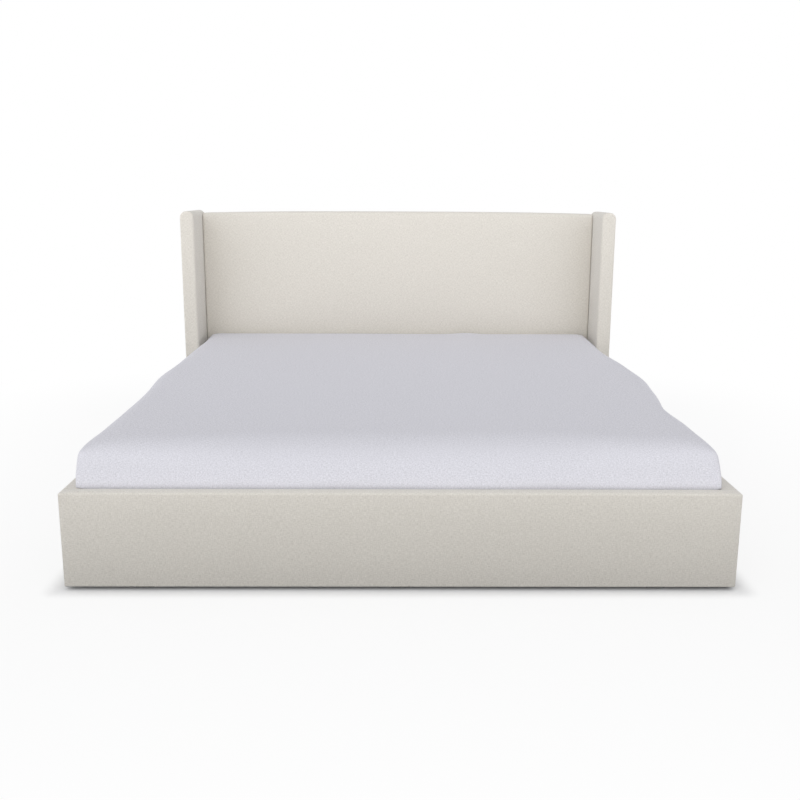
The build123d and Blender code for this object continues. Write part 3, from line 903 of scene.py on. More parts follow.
def bedding_rolls(places, inset):
    """Width and depth of the rounded rim at each point: wider at the foot, tighter at the head."""
    along = (places[:, Y, None] - cover_low.y) / (cover_high.y - cover_low.y)
    to_side = cover_half - np.abs(places[:, X, None])
    to_foot = places[:, Y, None] - cover_low.y
    at_foot = eased(0.5 + (to_side - to_foot) / corner_blend)
    off_corner = eased((to_side - corner_start) / corner_reach)
    side = side_roll_foot + (side_roll_head - side_roll_foot) * along
    foot = foot_roll_corner + (foot_roll_middle - foot_roll_corner) * off_corner
    return (side * (1 - at_foot) + foot * at_foot - inset).T


def let_out(points):
    """Moves the sides in and out along the bed by the cover's swells, as far as the rails leave room."""
    near = np.exp(-(((points[:, Y, None] - swell_places) / swell_reach) ** 2))
    swell = np.where(points[:, X] < 0, near @ left_swells, near @ right_swells)
    tucked = eased((rail_top + hem_blend - points[:, Z]) / hem_blend)
    by_wing = eased((points[:, Y] - wing_start + wing_clear) / wing_blend)
    room = tuck_half + (tuck_wing - tuck_half) * by_wing - cover_half
    swell = swell * (1 - tucked) + np.clip(swell, least_room * room, room) * tucked
    edge = np.clip(np.abs(points[:, X]) / cover_half, 0, 1) ** swell_power
    points[:, X] += np.sign(points[:, X]) * swell * edge
    return points


def lowered(points):
    """Lets the top of the bedding down towards the foot, and leaves what is tucked in behind the rails."""
    along = eased((cover_high.y - points[:, Y]) / (cover_high.y - cover_low.y))
    above = np.clip((points[:, Z] - rail_top) / (cover_high.z - rail_top), 0, 1)
    points[:, Z] -= foot_fall * along * above
    return points


def at_corner(points):
    """How near each point is to a foot corner of the bedding, above the rails."""
    to_side = eased((np.abs(points[:, X]) - cover_half + relax_side) / relax_fade)
    to_foot = eased((cover_low.y + relax_foot - points[:, Y]) / relax_fade)
    return to_side * to_foot * eased((points[:, Z] - rail_top - relax_rise) / relax_rise_fade)


def relaxed(points, quads, share):
    """Evens out a surface by moving each point towards the middle of its neighbours."""
    corners = np.array(quads)
    ends = np.concatenate([corners[:, [i, (i + 1) % 4]] for i in range(4)])
    count = np.bincount(ends.ravel(), minlength=len(points))[:, None]
    for _ in range(relax_rounds):
        total = np.zeros_like(points)
        np.add.at(total, ends[:, 0], points[ends[:, 1]])
        np.add.at(total, ends[:, 1], points[ends[:, 0]])
        points = points + (total / count - points) * share[:, None] * relax_step
    return points


print("bedding", round(2 * cover_half, 3), "m wide, falls", foot_fall, "m towards the foot")

# %% Make the bed cover
cover_thickness = 0.005
fold_levels = rail_top + np.array((0.0, 0.0015, 0.003, 0.006, 0.010, 0.015, 0.021))
corner_rise = 0.15
left_fill, right_fill = 0.009, 0.002
left_half, right_half = 0.992, 0.984
foot_round = 0.004
foot_zone, foot_zone_fade = 0.40, 0.30
side_zone, side_zone_fade = 0.10, 0.08
top_zone, top_zone_fade = 0.02, 0.10
fold_height, fold_wave = 0.006, 0.21
fold_stretch = np.array((1, 1, 0.35))
fold_start = 0.03
fold_zone, fold_zone_fade = 0.25, 0.2
billow_height, billow_wave = 0.004, 0.55
bump_height, bump_place = 0.008, 0.34
bump_width, bump_length = 0.06, 0.12
flare_top = 0.060
flare_zone, flare_zone_fade = 0.06, 0.05


def cover_openings(face, end, middle):
    return (face == 2 and end == 0) or (face == 1 and end == 1)


lines = [
    ruled(-cover_half, cover_half, step=0.030, zones=(0.20, 0.20), zone_lines=14),
    ruled(cover_low.y, cover_high.y, step=0.034, zones=(0.26, 0.0), zone_lines=16),
    ruled(cover_low.z, cover_high.z, step=0.014, zones=(0.0, 0.1), extra=fold_levels, zone_lines=8),
]
grid, quads, uvs = ruled_box((X, Y, Z), lines, cover_openings)
corners = {(0, 0): cover_corner, (1, 0): cover_corner}
points = rounded(grid, lines, corners, (None, bedding_rolls(grid, 0.0)))
points = lowered(let_out(points))
points = relaxed(points, quads, at_corner(points))

full = np.sin(math.pi * np.clip((points[:, Z] - rail_top) / corner_rise, 0, 1))
near_foot = eased((cover_low.y + foot_zone - points[:, Y]) / foot_zone_fade)
near_side = eased((np.abs(points[:, X]) - cover_half + side_zone) / side_zone_fade)
on_left = points[:, X] < 0
corner_fill = np.where(on_left, left_fill, right_fill)
foot_half = np.where(on_left, left_half, right_half)
out = np.abs(points[:, X]) + corner_fill * full * near_foot * near_side
upright = foot_half - foot_round * np.log1p(np.exp((foot_half - out) / foot_round))
points[:, X] = np.sign(points[:, X]) * (out + (upright - out) * near_foot * near_side)

on_side = eased((cover_high.z - top_zone - points[:, Z]) / top_zone_fade)
folds = wavy(points * fold_stretch, fold_wave, seed=3)
billow = wavy(points, billow_wave, seed=4)
points[:, Z] += billow_height * billow * (1 - on_side)
bump_x = (points[:, X] - bump_place) / bump_width
bump_y = (points[:, Y] - cover_high.y) / bump_length
points[:, Z] += bump_height * np.exp(-(bump_x**2) - bump_y**2) * (1 - on_side)
flare = eased((rail_top + flare_top - points[:, Z]) / flare_top) * (cover_low.y - tuck_foot)
above_rail = eased((points[:, Z] - rail_top) / fold_start)
at_foot = eased((cover_low.y + fold_zone - points[:, Y]) / fold_zone_fade)
points[:, Y] -= fold_height * folds * on_side * above_rail * at_foot
points[:, Y] -= flare * eased((cover_low.y + flare_zone - points[:, Y]) / flare_zone_fade)
points[:, X] += fold_height * np.sign(points[:, X]) * folds * on_side * above_rail * (1 - at_foot)

bed_cover = new_piece("bed_cover_spread", points, quads, linen, uvs)
cover_quads = quads
settled(bed_cover, "mattress", ("bed_cover",), cover_thickness)

# %% [markdown]
# ## Mattress
# The mattress is hidden until it is lifted out. It is a padded block in ticking, softly rounded like
# the cover over it, and its base is sewn in squares. Lines of the grid run beside each sewn channel,
# so a narrow groove is true geometry without a fine grid everywhere. Its tape edge follows further down.

# %% Make the mattress
low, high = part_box("mattress")
mattress_corner = 0.060
mattress_edge = 0.028
quilt_pitch = 0.16
quilt_depth = 0.007
quilt_width = 0.010
quilt_slope = 0.6 * quilt_width
cover_gap = 0.014
cover_search = 0.10
head_margin = 0.03
sewn_x, sewn_y = (
    np.linspace(start, stop, round((stop - start) / quilt_pitch) + 1)[1:-1]
    for start, stop in ((low.x, high.x), (low.y, high.y))
)


def kept_under(points, cover, gap):
    """Moves points that come too near the cover, or through it, back under it."""
    moved = points.copy()
    for i, point in enumerate(points):
        spot, normal, _, _ = cover.find_nearest(Vector(point), cover_search)
        if spot is None or point[Z] < rail_top or point[Y] > cover_high.y - head_margin:
            continue
        depth = (spot - Vector(point)).dot(normal)
        if depth < gap:
            moved[i] = Vector(point) - normal * (gap - depth)
    return moved


def beside_seams(seams):
    """Grid lines on both sides of each seam and on it."""
    return np.concatenate([seams - quilt_width, seams, seams + quilt_width])


def from_seams(values, seams):
    """The distance from each value to its nearest seam."""
    return np.abs(values[:, None] - seams).min(1)


lines = [
    ruled(low.x, high.x, step=0.05, zones=(0.19, 0.19), extra=beside_seams(sewn_x), zone_lines=10),
    ruled(low.y, high.y, step=0.05, zones=(0.22, 0.07), extra=beside_seams(sewn_y), zone_lines=10),
    ruled(low.z, high.z, step=0.03, zones=(mattress_edge, 0.09), zone_lines=6),
]
grid, quads, uvs = ruled_box((X, Y, Z), lines)
corners = {(a, b): mattress_corner for a in (0, 1) for b in (0, 1)}
top_rolls = bedding_rolls(grid, cover_gap)
points = lowered(rounded(grid, lines, corners, ((mattress_edge, mattress_edge), top_rolls)))
cover_tree = BVHTree.FromPolygons(read_points(bed_cover).tolist(), cover_quads)
points = kept_under(points, cover_tree, cover_gap)
below = on_plane(grid, Z, low.z)
to_seam = np.minimum(from_seams(points[:, X], sewn_x), from_seams(points[:, Y], sewn_y))
points[below, Z] += quilt_depth * np.exp(-((to_seam[below] / quilt_slope) ** 2))
points[:, Z] = np.maximum(points[:, Z], low.z)
mattress = new_piece("mattress_padding", points, quads, ticking, uvs)
settled(mattress, "mattress", ("mattress",))
print(bed_cover.name, "is a sheet that rests on", mattress.name)

# %% [markdown]
# ## Wood
# The hidden frame is softwood, plywood and bowed birch slats. Wood shows growth rings, which run as long
# lines along the grain, and fine fibres. An image could give both, but nodes keep the rings solid,
# so they carry on from a face to its edge. One group makes rings, fibres and a slow change of tone.

# %% Build the wood group
pith = (0.0, 0.085, -0.060)
wobble_size = (0.55, 0.11, 0.11)
wobble_reach = 0.035
ring_sharpness = 3.0
fibre_length = 0.05
tone_size = (0.9, 0.055, 0.055)

wood, given = new_group("wood_grain", ["Ring Width", "Fibre Width"], ["Rings", "Fibre", "Tone"])
wobble = noise_of(wood, vector_node(wood, "DIVIDE", given["Vector"], wobble_size))
from_pith = vector_node(wood, "SUBTRACT", given["Vector"], pith)
cross_cut = vector_node(wood, "MULTIPLY", from_pith, (0, 1, 1))
radius = vector_node(wood, "LENGTH", cross_cut, output="Value")
wavy_radius = math_node(wood, "MULTIPLY_ADD", wobble, wobble_reach, radius)
years = math_node(wood, "DIVIDE", wavy_radius, given["Ring Width"])
late_wood = math_node(wood, "POWER", math_node(wood, "FRACT", years), ring_sharpness)
fibre_size = xyz_node(wood, X=fibre_length, Y=given["Fibre Width"], Z=given["Fibre Width"])
fibres = noise_of(wood, vector_node(wood, "DIVIDE", given["Vector"], fibre_size), detail=3.0)
slow_tone = noise_of(wood, vector_node(wood, "DIVIDE", given["Vector"], tone_size), detail=1.0)
add_node(wood, "NodeGroupOutput", {"Rings": late_wood, "Fibre": fibres, "Tone": slow_tone})
print("wood group", len(wood.nodes), "nodes")

# %% Make wood finishes
along_x = (0.0, 0.0, 0.0)
along_y = (0.0, 0.0, -math.pi / 2)
along_z = (0.0, math.pi / 2, 0.0)
fibre_width = 0.0011
tone_share = 0.5
fibre_share = 0.35
fibre_wear = 0.25
least_wear = 0.12
ply_share = 0.22
ply_thickness = 0.00139
grain_limits = (0.25, 0.95)
grain_relief = 0.0004


def wood_finish(name, turn, early, late, ring_width, ring_share, roughness, ply_axis=None):
    """Wood with its grain turned along a piece. Plywood also has layers across its thickness axis."""
    material, tree = new_material(name)
    place = add_node(tree, "ShaderNodeTexCoord").outputs["Object"]
    turned = add_node(tree, "ShaderNodeMapping", {"Vector": place, "Rotation": turn}).outputs[0]
    grain = placed_group(tree, wood, turned, ring_width=ring_width, fibre_width=fibre_width)
    mixed = math_node(tree, "MULTIPLY", grain["Tone"], tone_share)
    mixed = math_node(tree, "MULTIPLY_ADD", grain["Rings"], ring_share, mixed)
    mixed = math_node(tree, "MULTIPLY_ADD", grain["Fibre"], fibre_share, mixed)
    if ply_axis:
        through = add_node(tree, "ShaderNodeSeparateXYZ", {0: place}).outputs[ply_axis]
        layer = math_node(tree, "FLOORED_MODULO", math_node(tree, "DIVIDE", through, ply_thickness), 2.0)
        every_other = math_node(tree, "GREATER_THAN", layer, 1.0)
        mixed = math_node(tree, "MULTIPLY_ADD", every_other, ply_share, mixed)
    look = {
        "Base Color": shaded(tree, mixed, grain_limits, (early, late)),
        "Roughness": math_node(tree, "MULTIPLY_ADD", grain["Fibre"], fibre_wear, roughness - least_wear),
    }
    skinned(tree, look, mixed, strength=0.35, relief=grain_relief)
    return material


pine = {"early": (0.690, 0.500, 0.290), "late": (0.440, 0.255, 0.105)}
pine |= {"ring_width": 0.0055, "ring_share": 0.55, "roughness": 0.62}
plywood = {"early": (0.610, 0.445, 0.275), "late": (0.400, 0.250, 0.125)}
plywood |= {"ring_width": 0.021, "ring_share": 0.30, "roughness": 0.68}
slat_wood = {"early": (0.720, 0.545, 0.345), "late": (0.520, 0.345, 0.180)}
slat_wood |= {"ring_width": 0.013, "ring_share": 0.22, "roughness": 0.36}
pine_across = wood_finish("pine_across", along_x, **pine)
pine_long = wood_finish("pine_long", along_y, **pine)
pine_upright = wood_finish("pine_upright", along_z, **pine)
ply_across = wood_finish("plywood_across", along_x, **plywood, ply_axis="Y")
ply_long = wood_finish("plywood_long", along_y, **plywood, ply_axis="X")
birch = wood_finish("slat_birch", along_x, **slat_wood)
print("woods", [m.name for m in (pine_across, pine_long, pine_upright, ply_across, ply_long, birch)])

# %% [markdown]
# ## Metal and plastic
# Powder coat has a fine orange-peel surface, zinc plate has a faint spangle with rubbed streaks, and
# moulded plastic has a grain from its mould. One group of surface marks gives a fine grain, a slow mottle
# and thin rubs, and each material uses them in its own measure.

# %% Build the surface marks group
rub_size = (0.060, 0.0016, 0.0040)
rub_limits = {"From Min": 0.60, "From Max": 0.74}

marks, given = new_group("surface_marks", ["Grain Size", "Mottle Size"], ["Grain", "Mottle", "Rubs"])
scaled = {}
for socket in ("Grain Size", "Mottle Size"):
    size = xyz_node(marks, X=given[socket], Y=given[socket], Z=given[socket])
    scaled[socket] = vector_node(marks, "DIVIDE", given["Vector"], size)
fine = noise_of(marks, scaled["Grain Size"], detail=1.0)
cells = add_node(marks, "ShaderNodeTexVoronoi", {"Vector": scaled["Mottle Size"], "Scale": 1.0})
mottle = add_node(marks, "ShaderNodeSeparateColor", {0: cells.outputs["Color"]}).outputs[0]
rub_lines = noise_of(marks, vector_node(marks, "DIVIDE", given["Vector"], rub_size))
rubs = add_node(marks, "ShaderNodeMapRange", {"Value": rub_lines, **rub_limits}).outputs[0]
add_node(marks, "NodeGroupOutput", {"Grain": fine, "Mottle": mottle, "Rubs": rubs})
print("marks group", len(marks.nodes), "nodes")

# %% Make metal and plastic finishes
rub_share = 0.5
rub_wear = 0.30


def hard_finish(name, base, rubbed, metallic, roughness, mottle_share, grain_size, mottle_size, relief):
    """A coated, plated or moulded surface with a grain, a mottle and rubbed streaks."""
    material, tree = new_material(name)
    place = add_node(tree, "ShaderNodeTexCoord").outputs["Object"]
    seen = placed_group(tree, marks, place, grain_size=grain_size, mottle_size=mottle_size)
    worn = math_node(tree, "MULTIPLY", seen["Rubs"], rub_share)
    worn = math_node(tree, "MULTIPLY_ADD", seen["Mottle"], mottle_share, worn)
    colours = {0: worn, 6: (*base, 1), 7: (*rubbed, 1)}
    look = {
        "Base Color": add_node(tree, "ShaderNodeMix", colours, data_type="RGBA").outputs[2],
        "Metallic": metallic,
        "Roughness": math_node(tree, "MULTIPLY_ADD", worn, rub_wear, roughness),
    }
    skinned(tree, look, seen["Grain"], strength=0.5, relief=relief)
    return material


powder_coat = hard_finish(
    "powder_coat",
    base=(0.030, 0.030, 0.033),
    rubbed=(0.075, 0.075, 0.080),
    metallic=0.0,
    roughness=0.36,
    mottle_share=0.25,
    grain_size=0.0016,
    mottle_size=0.020,
    relief=0.00010,
)
zinc_plate = hard_finish(
    "zinc_plate",
    base=(0.560, 0.570, 0.590),
    rubbed=(0.740, 0.745, 0.750),
    metallic=1.0,
    roughness=0.26,
    mottle_share=0.50,
    grain_size=0.0008,
    mottle_size=0.006,
    relief=0.00004,
)
black_plastic = hard_finish(
    "black_plastic",
    base=(0.022, 0.022, 0.023),
    rubbed=(0.052, 0.052, 0.054),
    metallic=0.0,
    roughness=0.46,
    mottle_share=0.20,
    grain_size=0.0009,
    mottle_size=0.012,
    relief=0.00008,
)
print("hard finishes", [m.name for m in (powder_coat, zinc_plate, black_plastic)])

# %% Give every hard part its finish
finishes = {
    "headboard_stile_left headboard_stile_right headboard_centre_stud": pine_upright,
    "headboard_top_timber headboard_middle_timbers headboard_bottom_timber": pine_across,
    "wing_left_core wing_right_core": pine_upright,
    "ledger_left ledger_right": pine_long,
    "side_rail_left_board side_rail_right_board": ply_long,
    "foot_rail_board headboard_face_panel": ply_across,
    "slats_left slats_right": birch,
    "slat_holders_left slat_holders_right slat_holders_centre rail_glides": black_plastic,
    "centre_beam beam_hanger_foot beam_hanger_head": powder_coat,
    "centre_leg_front centre_leg_middle centre_leg_rear": powder_coat,
    "hook_plate_left hook_plate_right receiver_plate_left receiver_plate_right": zinc_plate,
    "corner_bracket_left corner_bracket_right": zinc_plate,
    "levelling_foot_front levelling_foot_middle levelling_foot_rear": zinc_plate,
}
for names, finish in finishes.items():
    for name in names.split():
        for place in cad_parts[name].material_slots:
            place.material = finish
print("finished", sum(len(names.split()) for names in finishes), "hard parts")

# %% [markdown]
# ## Back cloth
# A thin spun cloth closes the back of the headboard. It is stapled to the timbers all round, so it is flat
# on them, sinks a little between them and puckers towards each staple. It is a grid of points
# whose depth follows the distance to the nearest timber.

# %% Make the back cloth
low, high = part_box("headboard_back_cloth")
cloth_step = 0.020
cloth_sink = 0.005
sink_reach = 0.22
back_thickness = 0.0008
hem_width = 0.014
hem_rise = 0.0006
hem_slope = 0.003
staple_pitch = 0.060
pucker = 0.0010
pucker_reach = 0.035
pucker_start = 0.02
timbers = ("stile_left", "stile_right", "top_timber", "middle_timbers", "bottom_timber", "centre_stud")

columns = ruled(low.x, high.x, step=cloth_step, zones=(hem_width, hem_width), zone_lines=4)
rows = ruled(low.z, high.z, step=cloth_step, zones=(hem_width, hem_width), zone_lines=4)
spots = np.array([(x, z) for z in rows for x in columns])
from_timber = np.full(len(spots), np.inf)
for timber in timbers:
    timber_low, timber_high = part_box(f"headboard_{timber}")
    off_x = np.maximum(np.maximum(timber_low.x - spots[:, 0], spots[:, 0] - timber_high.x), 0)
    off_z = np.maximum(np.maximum(timber_low.z - spots[:, 1], spots[:, 1] - timber_high.z), 0)
    from_timber = np.minimum(from_timber, np.hypot(off_x, off_z))
to_edge_x = np.minimum(spots[:, 0] - low.x, high.x - spots[:, 0])
to_edge_z = np.minimum(spots[:, 1] - low.z, high.z - spots[:, 1])
to_edge = np.minimum(to_edge_x, to_edge_z)
beside = np.where(to_edge_x < to_edge_z, spots[:, 1], spots[:, 0])
waves = np.cos(2 * math.pi * beside / staple_pitch)
level = high.y - cloth_sink * eased(from_timber / sink_reach)
level += hem_rise * (1 - eased((to_edge - hem_width + hem_slope) / hem_slope))
level += pucker * waves * np.exp(-to_edge / pucker_reach) * eased(to_edge / pucker_start)
points = np.column_stack([spots[:, 0], level, spots[:, 1]])
wide = len(columns)
starts = [row * wide + column for row in range(len(rows) - 1) for column in range(wide - 1)]
quads = [(i + 1, i, i + wide, i + wide + 1) for i in starts]
uvs = [tuple(spots[corner]) for quad in quads for corner in quad]
back_cloth = new_piece("headboard_back_sheet", points, quads, spun_cloth, uvs)
settled(back_cloth, "frame", ("headboard_back_cloth",), back_thickness)
held_by = ["headboard_stile_left", "headboard_stile_right"]
held_by += ["headboard_top_timber", "headboard_bottom_timber"]
print(back_cloth.name, "is a sheet held by", len(held_by), "timbers")

# %% [markdown]
# ## Screws, nuts and staples
# Fasteners repeat, so Geometry Nodes set them: points carry a direction, and the tree puts one head or
# staple on each point, turned to that direction. A head is a washer, a body with a bevelled rim and a
# sunk drive. Afterwards the result is made a plain mesh, because instances and live trees don't leave
# Blender.


# %% Build the fastener tree
def new_tree(name, inputs):
    """An empty geometry tree with a geometry input and output and named inputs with their values."""
    tree = bpy.data.node_groups.new(name, "GeometryNodeTree")
    tree.interface.new_socket("Geometry", in_out="OUTPUT", socket_type="NodeSocketGeometry")
    tree.interface.new_socket("Geometry", in_out="INPUT", socket_type="NodeSocketGeometry")
    for socket, value in inputs.items():
        kind = {int: "NodeSocketInt", float: "NodeSocketFloat"}.get(type(value), "NodeSocketMaterial")
        made = tree.interface.new_socket(socket, in_out="INPUT", socket_type=kind)
        if value is not None:
            made.default_value = value
    return tree, add_node(tree, "NodeGroupInput").outputs


def joined(tree, *parts):
    """Several geometries as one."""
    node = add_node(tree, "GeometryNodeJoinGeometry")
    for part in parts:
        tree.links.new(part, node.inputs[0])
    return node.outputs[0]


def moved(tree, mesh, **way):
    """A mesh moved by named X, Y and Z lengths."""
    placing = {"Geometry": mesh, "Translation": xyz_node(tree, **way)}
    return add_node(tree, "GeometryNodeTransform", placing).outputs[0]


def attribute(tree, name, kind):
    """A named value of each point."""
    return add_node(tree, "GeometryNodeInputNamedAttribute", {"Name": name}, data_type=kind).outputs[0]


def random_between(tree, low, high, seed):
    """A random value for each point."""
    limits = {2: low, 3: high, "Seed": seed}
    return add_node(tree, "FunctionNodeRandomValue", limits, data_type="FLOAT").outputs[1]


def end_tree(tree, mesh, material):
    """Ends a tree with real geometry in its material."""
    real = add_node(tree, "GeometryNodeRealizeInstances", {0: mesh}).outputs[0]
    shown = add_node(tree, "GeometryNodeSetMaterial", {"Geometry": real, "Material": material})
    add_node(tree, "NodeGroupOutput", {"Geometry": shown.outputs[0]})


def set_on_points(tree, given, mesh, twist):
    """Puts the mesh on each point, with its Z along the point's aim, and ends the tree."""
    aim = attribute(tree, "aim", "FLOAT_VECTOR")
    turn = add_node(tree, "FunctionNodeAlignRotationToVector", {"Vector": aim}, axis="Z").outputs[0]
    turning = {0: turn, 1: xyz_node(tree, Z=twist)}
    spun = add_node(tree, "FunctionNodeRotateRotation", turning, rotation_space="LOCAL").outputs[0]
    placing = {"Points": given["Geometry"], "Instance": mesh, "Rotation": spun}
    placed = add_node(tree, "GeometryNodeInstanceOnPoints", placing).outputs[0]
    end_tree(tree, placed, given["Material"])


head_sizes = {"Head Radius": 0.006, "Head Height": 0.004, "Sides": 16, "Drive": 0.5, "Drive Depth": 0.002}
head_sizes |= {"Washer Radius": 0.009, "Washer Height": 0.001, "Seed": 1, "Material": None}
washer_sides = 20
body_share = 0.7
rim_scale = 0.82

heads, given = new_tree("fastener_heads", head_sizes)


def cylinder(sides, radius, height):
    """A cylinder of a fastener's head. It gives its mesh and its top."""
    sizes = {"Vertices": sides, "Radius": radius, "Depth": height}
    return add_node(heads, "GeometryNodeMeshCylinder", sizes).outputs


def drawn_out(mesh, face, length):
    """A mesh with a face drawn out by a length. It gives the mesh and the new top."""
    drawing = {"Mesh": mesh, "Selection": face, "Offset Scale": length}
    return add_node(heads, "GeometryNodeExtrudeMesh", drawing).outputs


def narrowed(mesh, face, scale):
    """A mesh with a face scaled about its middle."""
    scaling = {"Geometry": mesh, "Selection": face, "Scale": scale}
    return add_node(heads, "GeometryNodeScaleElements", scaling).outputs[0]


washer = cylinder(washer_sides, given["Washer Radius"], given["Washer Height"])["Mesh"]
washer = moved(heads, washer, Z=math_node(heads, "MULTIPLY", given["Washer Height"], 0.5))
body_height = math_node(heads, "MULTIPLY", given["Head Height"], body_share)
rim_height = math_node(heads, "MULTIPLY", given["Head Height"], 1 - body_share)
body = cylinder(given["Sides"], given["Head Radius"], body_height)
rim = drawn_out(body["Mesh"], body["Top"], rim_height)
bevelled = narrowed(rim["Mesh"], rim["Top"], rim_scale)
flat_top = drawn_out(bevelled, rim["Top"], 0.0)
drive = narrowed(flat_top["Mesh"], flat_top["Top"], given["Drive"])
drive_drop = math_node(heads, "MULTIPLY", given["Drive Depth"], -1.0)
sunk = drawn_out(drive, flat_top["Top"], drive_drop)["Mesh"]
base = math_node(heads, "MULTIPLY_ADD", body_height, 0.5, given["Washer Height"])
head = joined(heads, washer, moved(heads, sunk, Z=base))
set_on_points(heads, given, head, random_between(heads, 0.0, math.tau, given["Seed"]))
print("fastener tree", len(heads.nodes), "nodes")

# %% Build the staple tree
staple_sizes = {"Crown": 0.011, "Wire": 0.0010, "Leg": 0.0016, "Tilt": 0.12, "Seed": 3, "Material": None}
staple_tree, given = new_tree("staples", staple_sizes)
leg_taper = 0.9
leg_wire = math_node(staple_tree, "MULTIPLY", given["Wire"], leg_taper)
leg_drop = math_node(staple_tree, "MULTIPLY", given["Leg"], -0.5)
span = math_node(staple_tree, "SUBTRACT", given["Crown"], given["Wire"])
crown_bar = {"X": given["Crown"], "Y": given["Wire"], "Z": given["Wire"]}
leg_bar = {"X": leg_wire, "Y": leg_wire, "Z": given["Leg"]}
bars = []
for sides, offset, drop in ((crown_bar, 0.0, 0.0), (leg_bar, -0.5, leg_drop), (leg_bar, 0.5, leg_drop)):
    size = xyz_node(staple_tree, **sides)
    bar = add_node(staple_tree, "GeometryNodeMeshCube", {"Size": size}).outputs["Mesh"]
    bars.append(moved(staple_tree, bar, X=math_node(staple_tree, "MULTIPLY", span, offset), Z=drop))
lean = math_node(staple_tree, "MULTIPLY", given["Tilt"], -1.0)
tilt = random_between(staple_tree, lean, given["Tilt"], given["Seed"])
twist = math_node(staple_tree, "ADD", tilt, attribute(staple_tree, "lie", "FLOAT"))
set_on_points(staple_tree, given, joined(staple_tree, *bars), twist)
print("staple tree", len(staple_tree.nodes), "nodes")


# %% Set the fasteners
def set_pieces(name, tree, spots, slot, material, body="frame", edges=(), **values):
    """Runs a tree on a list of (place, aim, turn), and keeps the result as a plain mesh on a body."""
    mesh = bpy.data.meshes.new(name + "_points")
    mesh.from_pydata([spot[0] for spot in spots], edges, [])
    aims = mesh.attributes.new("aim", "FLOAT_VECTOR", "POINT")
    aims.data.foreach_set("vector", [x for spot in spots for x in spot[1]])
    turns = mesh.attributes.new("lie", "FLOAT", "POINT")
    turns.data.foreach_set("value", [spot[2] for spot in spots])
    seeds = bpy.data.objects.new(name + "_points", mesh)
    bpy.context.scene.collection.objects.link(seeds)
    sockets = {item.name: item.identifier for item in tree.interface.items_tree if item.in_out == "INPUT"}
    growth = seeds.modifiers.new("set", "NODES")
    growth.node_group = tree
    growth[sockets["Material"]] = material
    for socket, value in values.items():
        growth[sockets[socket.replace("_", " ").title()]] = value
    seen = seeds.evaluated_get(bpy.context.evaluated_depsgraph_get())
    made = bpy.data.meshes.new_from_object(seen)
    made.name = name
    bpy.data.objects.remove(seeds)
    piece = bpy.data.objects.new(name, made)
    bpy.context.scene.collection.objects.link(piece)
    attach(piece, body)
    print(name, len(spots), "set,", len(made.polygons), "faces")


def set_heads(name, spots, **sizes):
    """Sets zinc screws or nuts on the frame."""
    set_pieces(name, heads, spots, "zinc_steel", zinc_plate, **sizes)


bracket_low, bracket_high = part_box("corner_bracket_right")
plate = 0.003
reach_in = 0.052
nut_levels = (0.071, 0.125)
nuts = []
for level in nut_levels:
    for side in (-1, 1):
        on_rail = (side * (bracket_high.x - plate), bracket_low.y + reach_in, level)
        on_foot = (side * (bracket_high.x - reach_in), bracket_low.y + plate, level)
        nuts += [(on_rail, (-side, 0, 0), 0), (on_foot, (0, 1, 0), 0)]
set_heads(
    "corner_nuts",
    nuts,
    head_radius=0.0075,
    head_height=0.0065,
    sides=6,
    drive=0.62,
    drive_depth=-0.004,
    washer_radius=0.0105,
    washer_height=0.0016,
)

ledger_low, ledger_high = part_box("ledger_right")
ledger_middle = (ledger_low.z + ledger_high.z) / 2
end_gap = 0.09
last_screw = 0.76
screw_count = 7
ledger_screws = [
    ((side * ledger_low.x, y, ledger_middle), (-side, 0, 0), 0)
    for y in np.linspace(ledger_low.y + end_gap, last_screw, screw_count)
    for side in (-1, 1)
]
set_heads(
    "ledger_screws",
    ledger_screws,
    head_radius=0.0048,
    head_height=0.0026,
    washer_radius=0.0052,
    washer_height=0.0004,
)

screw_half = 0.0375
screw_levels = (0.150, 0.174)
leg_inset = 0.015
leg_plate = 0.004
beam_screws = []
for hanger, aim in (("foot", 1), ("head", -1)):
    hanger_low, hanger_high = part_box(f"beam_hanger_{hanger}")
    face = (hanger_low.y if aim > 0 else hanger_high.y) + aim * plate
    beam_screws += [((x, face, z), (0, aim, 0), 0) for x in (-screw_half, screw_half) for z in screw_levels]
for leg in ("front", "middle", "rear"):
    leg_low, leg_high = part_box(f"centre_leg_{leg}")
    for y in (leg_low.y + leg_inset, leg_high.y - leg_inset):
        beam_screws.append(((0, y, leg_high.z - leg_plate), (0, 0, -1), 0))
set_heads(
    "beam_screws",
    beam_screws,
    head_radius=0.0046,
    head_height=0.0028,
    washer_radius=0.0050,
    washer_height=0.0004,
)

# %% Set the staples
lengthwise = math.pi / 2
inset = hem_width / 2
row_rise = 0.006
row_level = hem_level + row_rise
side_row_start, side_row_stop = 0.04, 0.02
foot_row_start, foot_row_stop = -0.94, 0.95
staples = []
cloth_low, cloth_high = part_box("headboard_back_cloth")
lift = cloth_high.y + hem_rise
for x in np.arange(cloth_low.x + inset, cloth_high.x - inset, staple_pitch):
    for z in (cloth_low.z + inset, cloth_high.z - inset):
        staples.append(((x, lift, z), (0, 1, 0), 0))
for z in np.arange(cloth_low.z + staple_pitch, cloth_high.z - staple_pitch / 2, staple_pitch):
    for x in (cloth_low.x + inset, cloth_high.x - inset):
        staples.append(((x, lift, z), (0, 1, 0), lengthwise))
rail_low, rail_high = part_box("side_rail_right_cover")
for y in np.arange(rail_low.y + side_row_start, rail_high.y - side_row_stop, staple_pitch):
    for side in (-1, 1):
        staples.append(((side * rail_low.x, y, row_level), (-side, 0, 0), lengthwise))
foot_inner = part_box("foot_rail_cover")[1].y
for x in np.arange(foot_row_start, foot_row_stop, staple_pitch):
    staples.append(((x, foot_inner, row_level), (0, 1, 0), 0))
set_pieces("staple_rows", staple_tree, staples, "zinc_steel", zinc_plate)

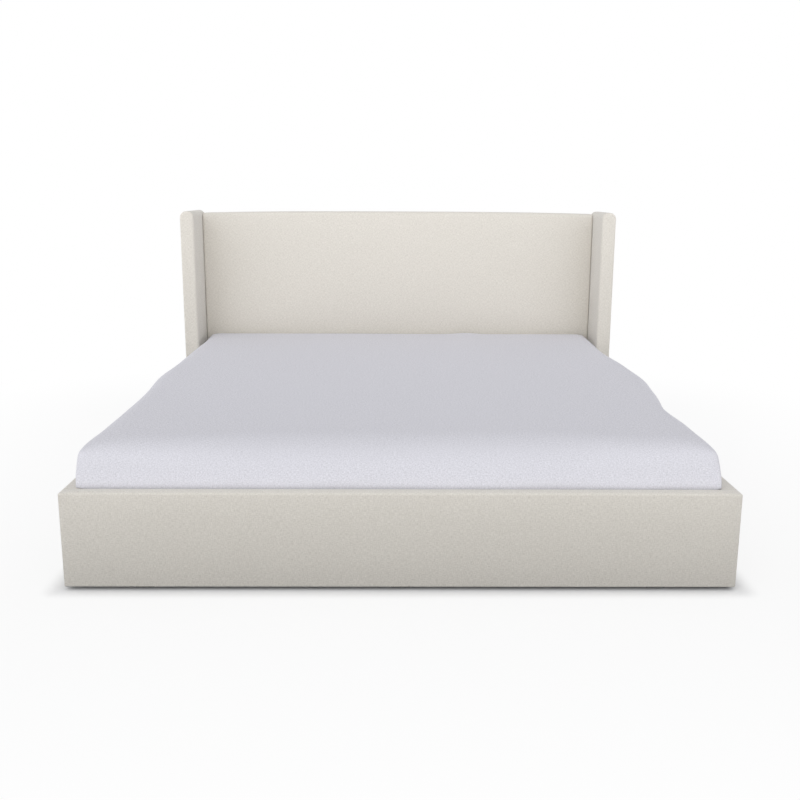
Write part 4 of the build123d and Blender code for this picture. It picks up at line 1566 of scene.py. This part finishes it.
# %% [markdown]
# ## Mattress tape
# The border and the base of a mattress are sewn together under a folded tape, which stands out as a round
# edge. A curve with a bevel could make it, but a tree that sweeps a circle along the edge can also
# measure the cloth as it goes: the length along the tape and round it become the UV map of the weave.

# %% Sweep the tape round the base
tape_cloth = cloth_finish(
    "mattress_tape",
    dark=(0.50, 0.49, 0.47),
    light=(0.64, 0.63, 0.60),
    threads_per_metre=900,
    slub=(0.006, 0.0020),
    relief=0.0004,
    roughness=0.9,
    sheen=0.1,
)
tape_tree, given = new_tree("tape_edge", {"Tape Radius": 0.0045, "Sides": 12, "Material": None})


def measured(tree, curve):
    """A curve that remembers the length along it at each point."""
    node = add_node(tree, "GeometryNodeCaptureAttribute", {"Geometry": curve})
    node.capture_items.new("FLOAT", "Length")
    tree.links.new(add_node(tree, "GeometryNodeSplineParameter").outputs["Length"], node.inputs["Length"])
    return node.outputs["Geometry"], node.outputs["Length"]


edge_line = add_node(tape_tree, "GeometryNodeMeshToCurve", {0: given["Geometry"]}).outputs[0]
circle_sizes = {"Resolution": given["Sides"], "Radius": given["Tape Radius"]}
circle = add_node(tape_tree, "GeometryNodeCurvePrimitiveCircle", circle_sizes).outputs["Curve"]
edge_line, along = measured(tape_tree, edge_line)
circle, around = measured(tape_tree, circle)
sweeping = {"Curve": edge_line, "Profile Curve": circle}
swept = add_node(tape_tree, "GeometryNodeCurveToMesh", sweeping).outputs[0]
cloth_spot = xyz_node(tape_tree, X=along, Y=around)
laid_out = add_node(
    tape_tree,
    "GeometryNodeStoreNamedAttribute",
    {"Geometry": swept, "Name": "cloth", "Value": cloth_spot},
    data_type="FLOAT2",
    domain="CORNER",
).outputs[0]
end_tree(tape_tree, laid_out, given["Material"])
print("tape tree", len(tape_tree.nodes), "nodes")

low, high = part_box("mattress")
tape_inset = mattress_edge * (1 - math.sqrt(0.5))
tape_turn = mattress_corner - tape_inset
corner_points = 9
tape_spots = []
for quarter in range(4):
    corner_x = (high.x - mattress_corner) * (1 if quarter in (0, 3) else -1)
    corner_y = high.y - mattress_corner if quarter < 2 else low.y + mattress_corner
    for angle in np.linspace(quarter * math.pi / 2, (quarter + 1) * math.pi / 2, corner_points):
        x, y = corner_x + tape_turn * math.cos(angle), corner_y + tape_turn * math.sin(angle)
        tape_spots.append(((x, y, low.z + tape_inset), (0, 0, 1), 0))
tape_edges = [(i, (i + 1) % len(tape_spots)) for i in range(len(tape_spots))]
set_pieces("mattress_tape", tape_tree, tape_spots, "mattress_ticking", tape_cloth, "mattress", tape_edges)
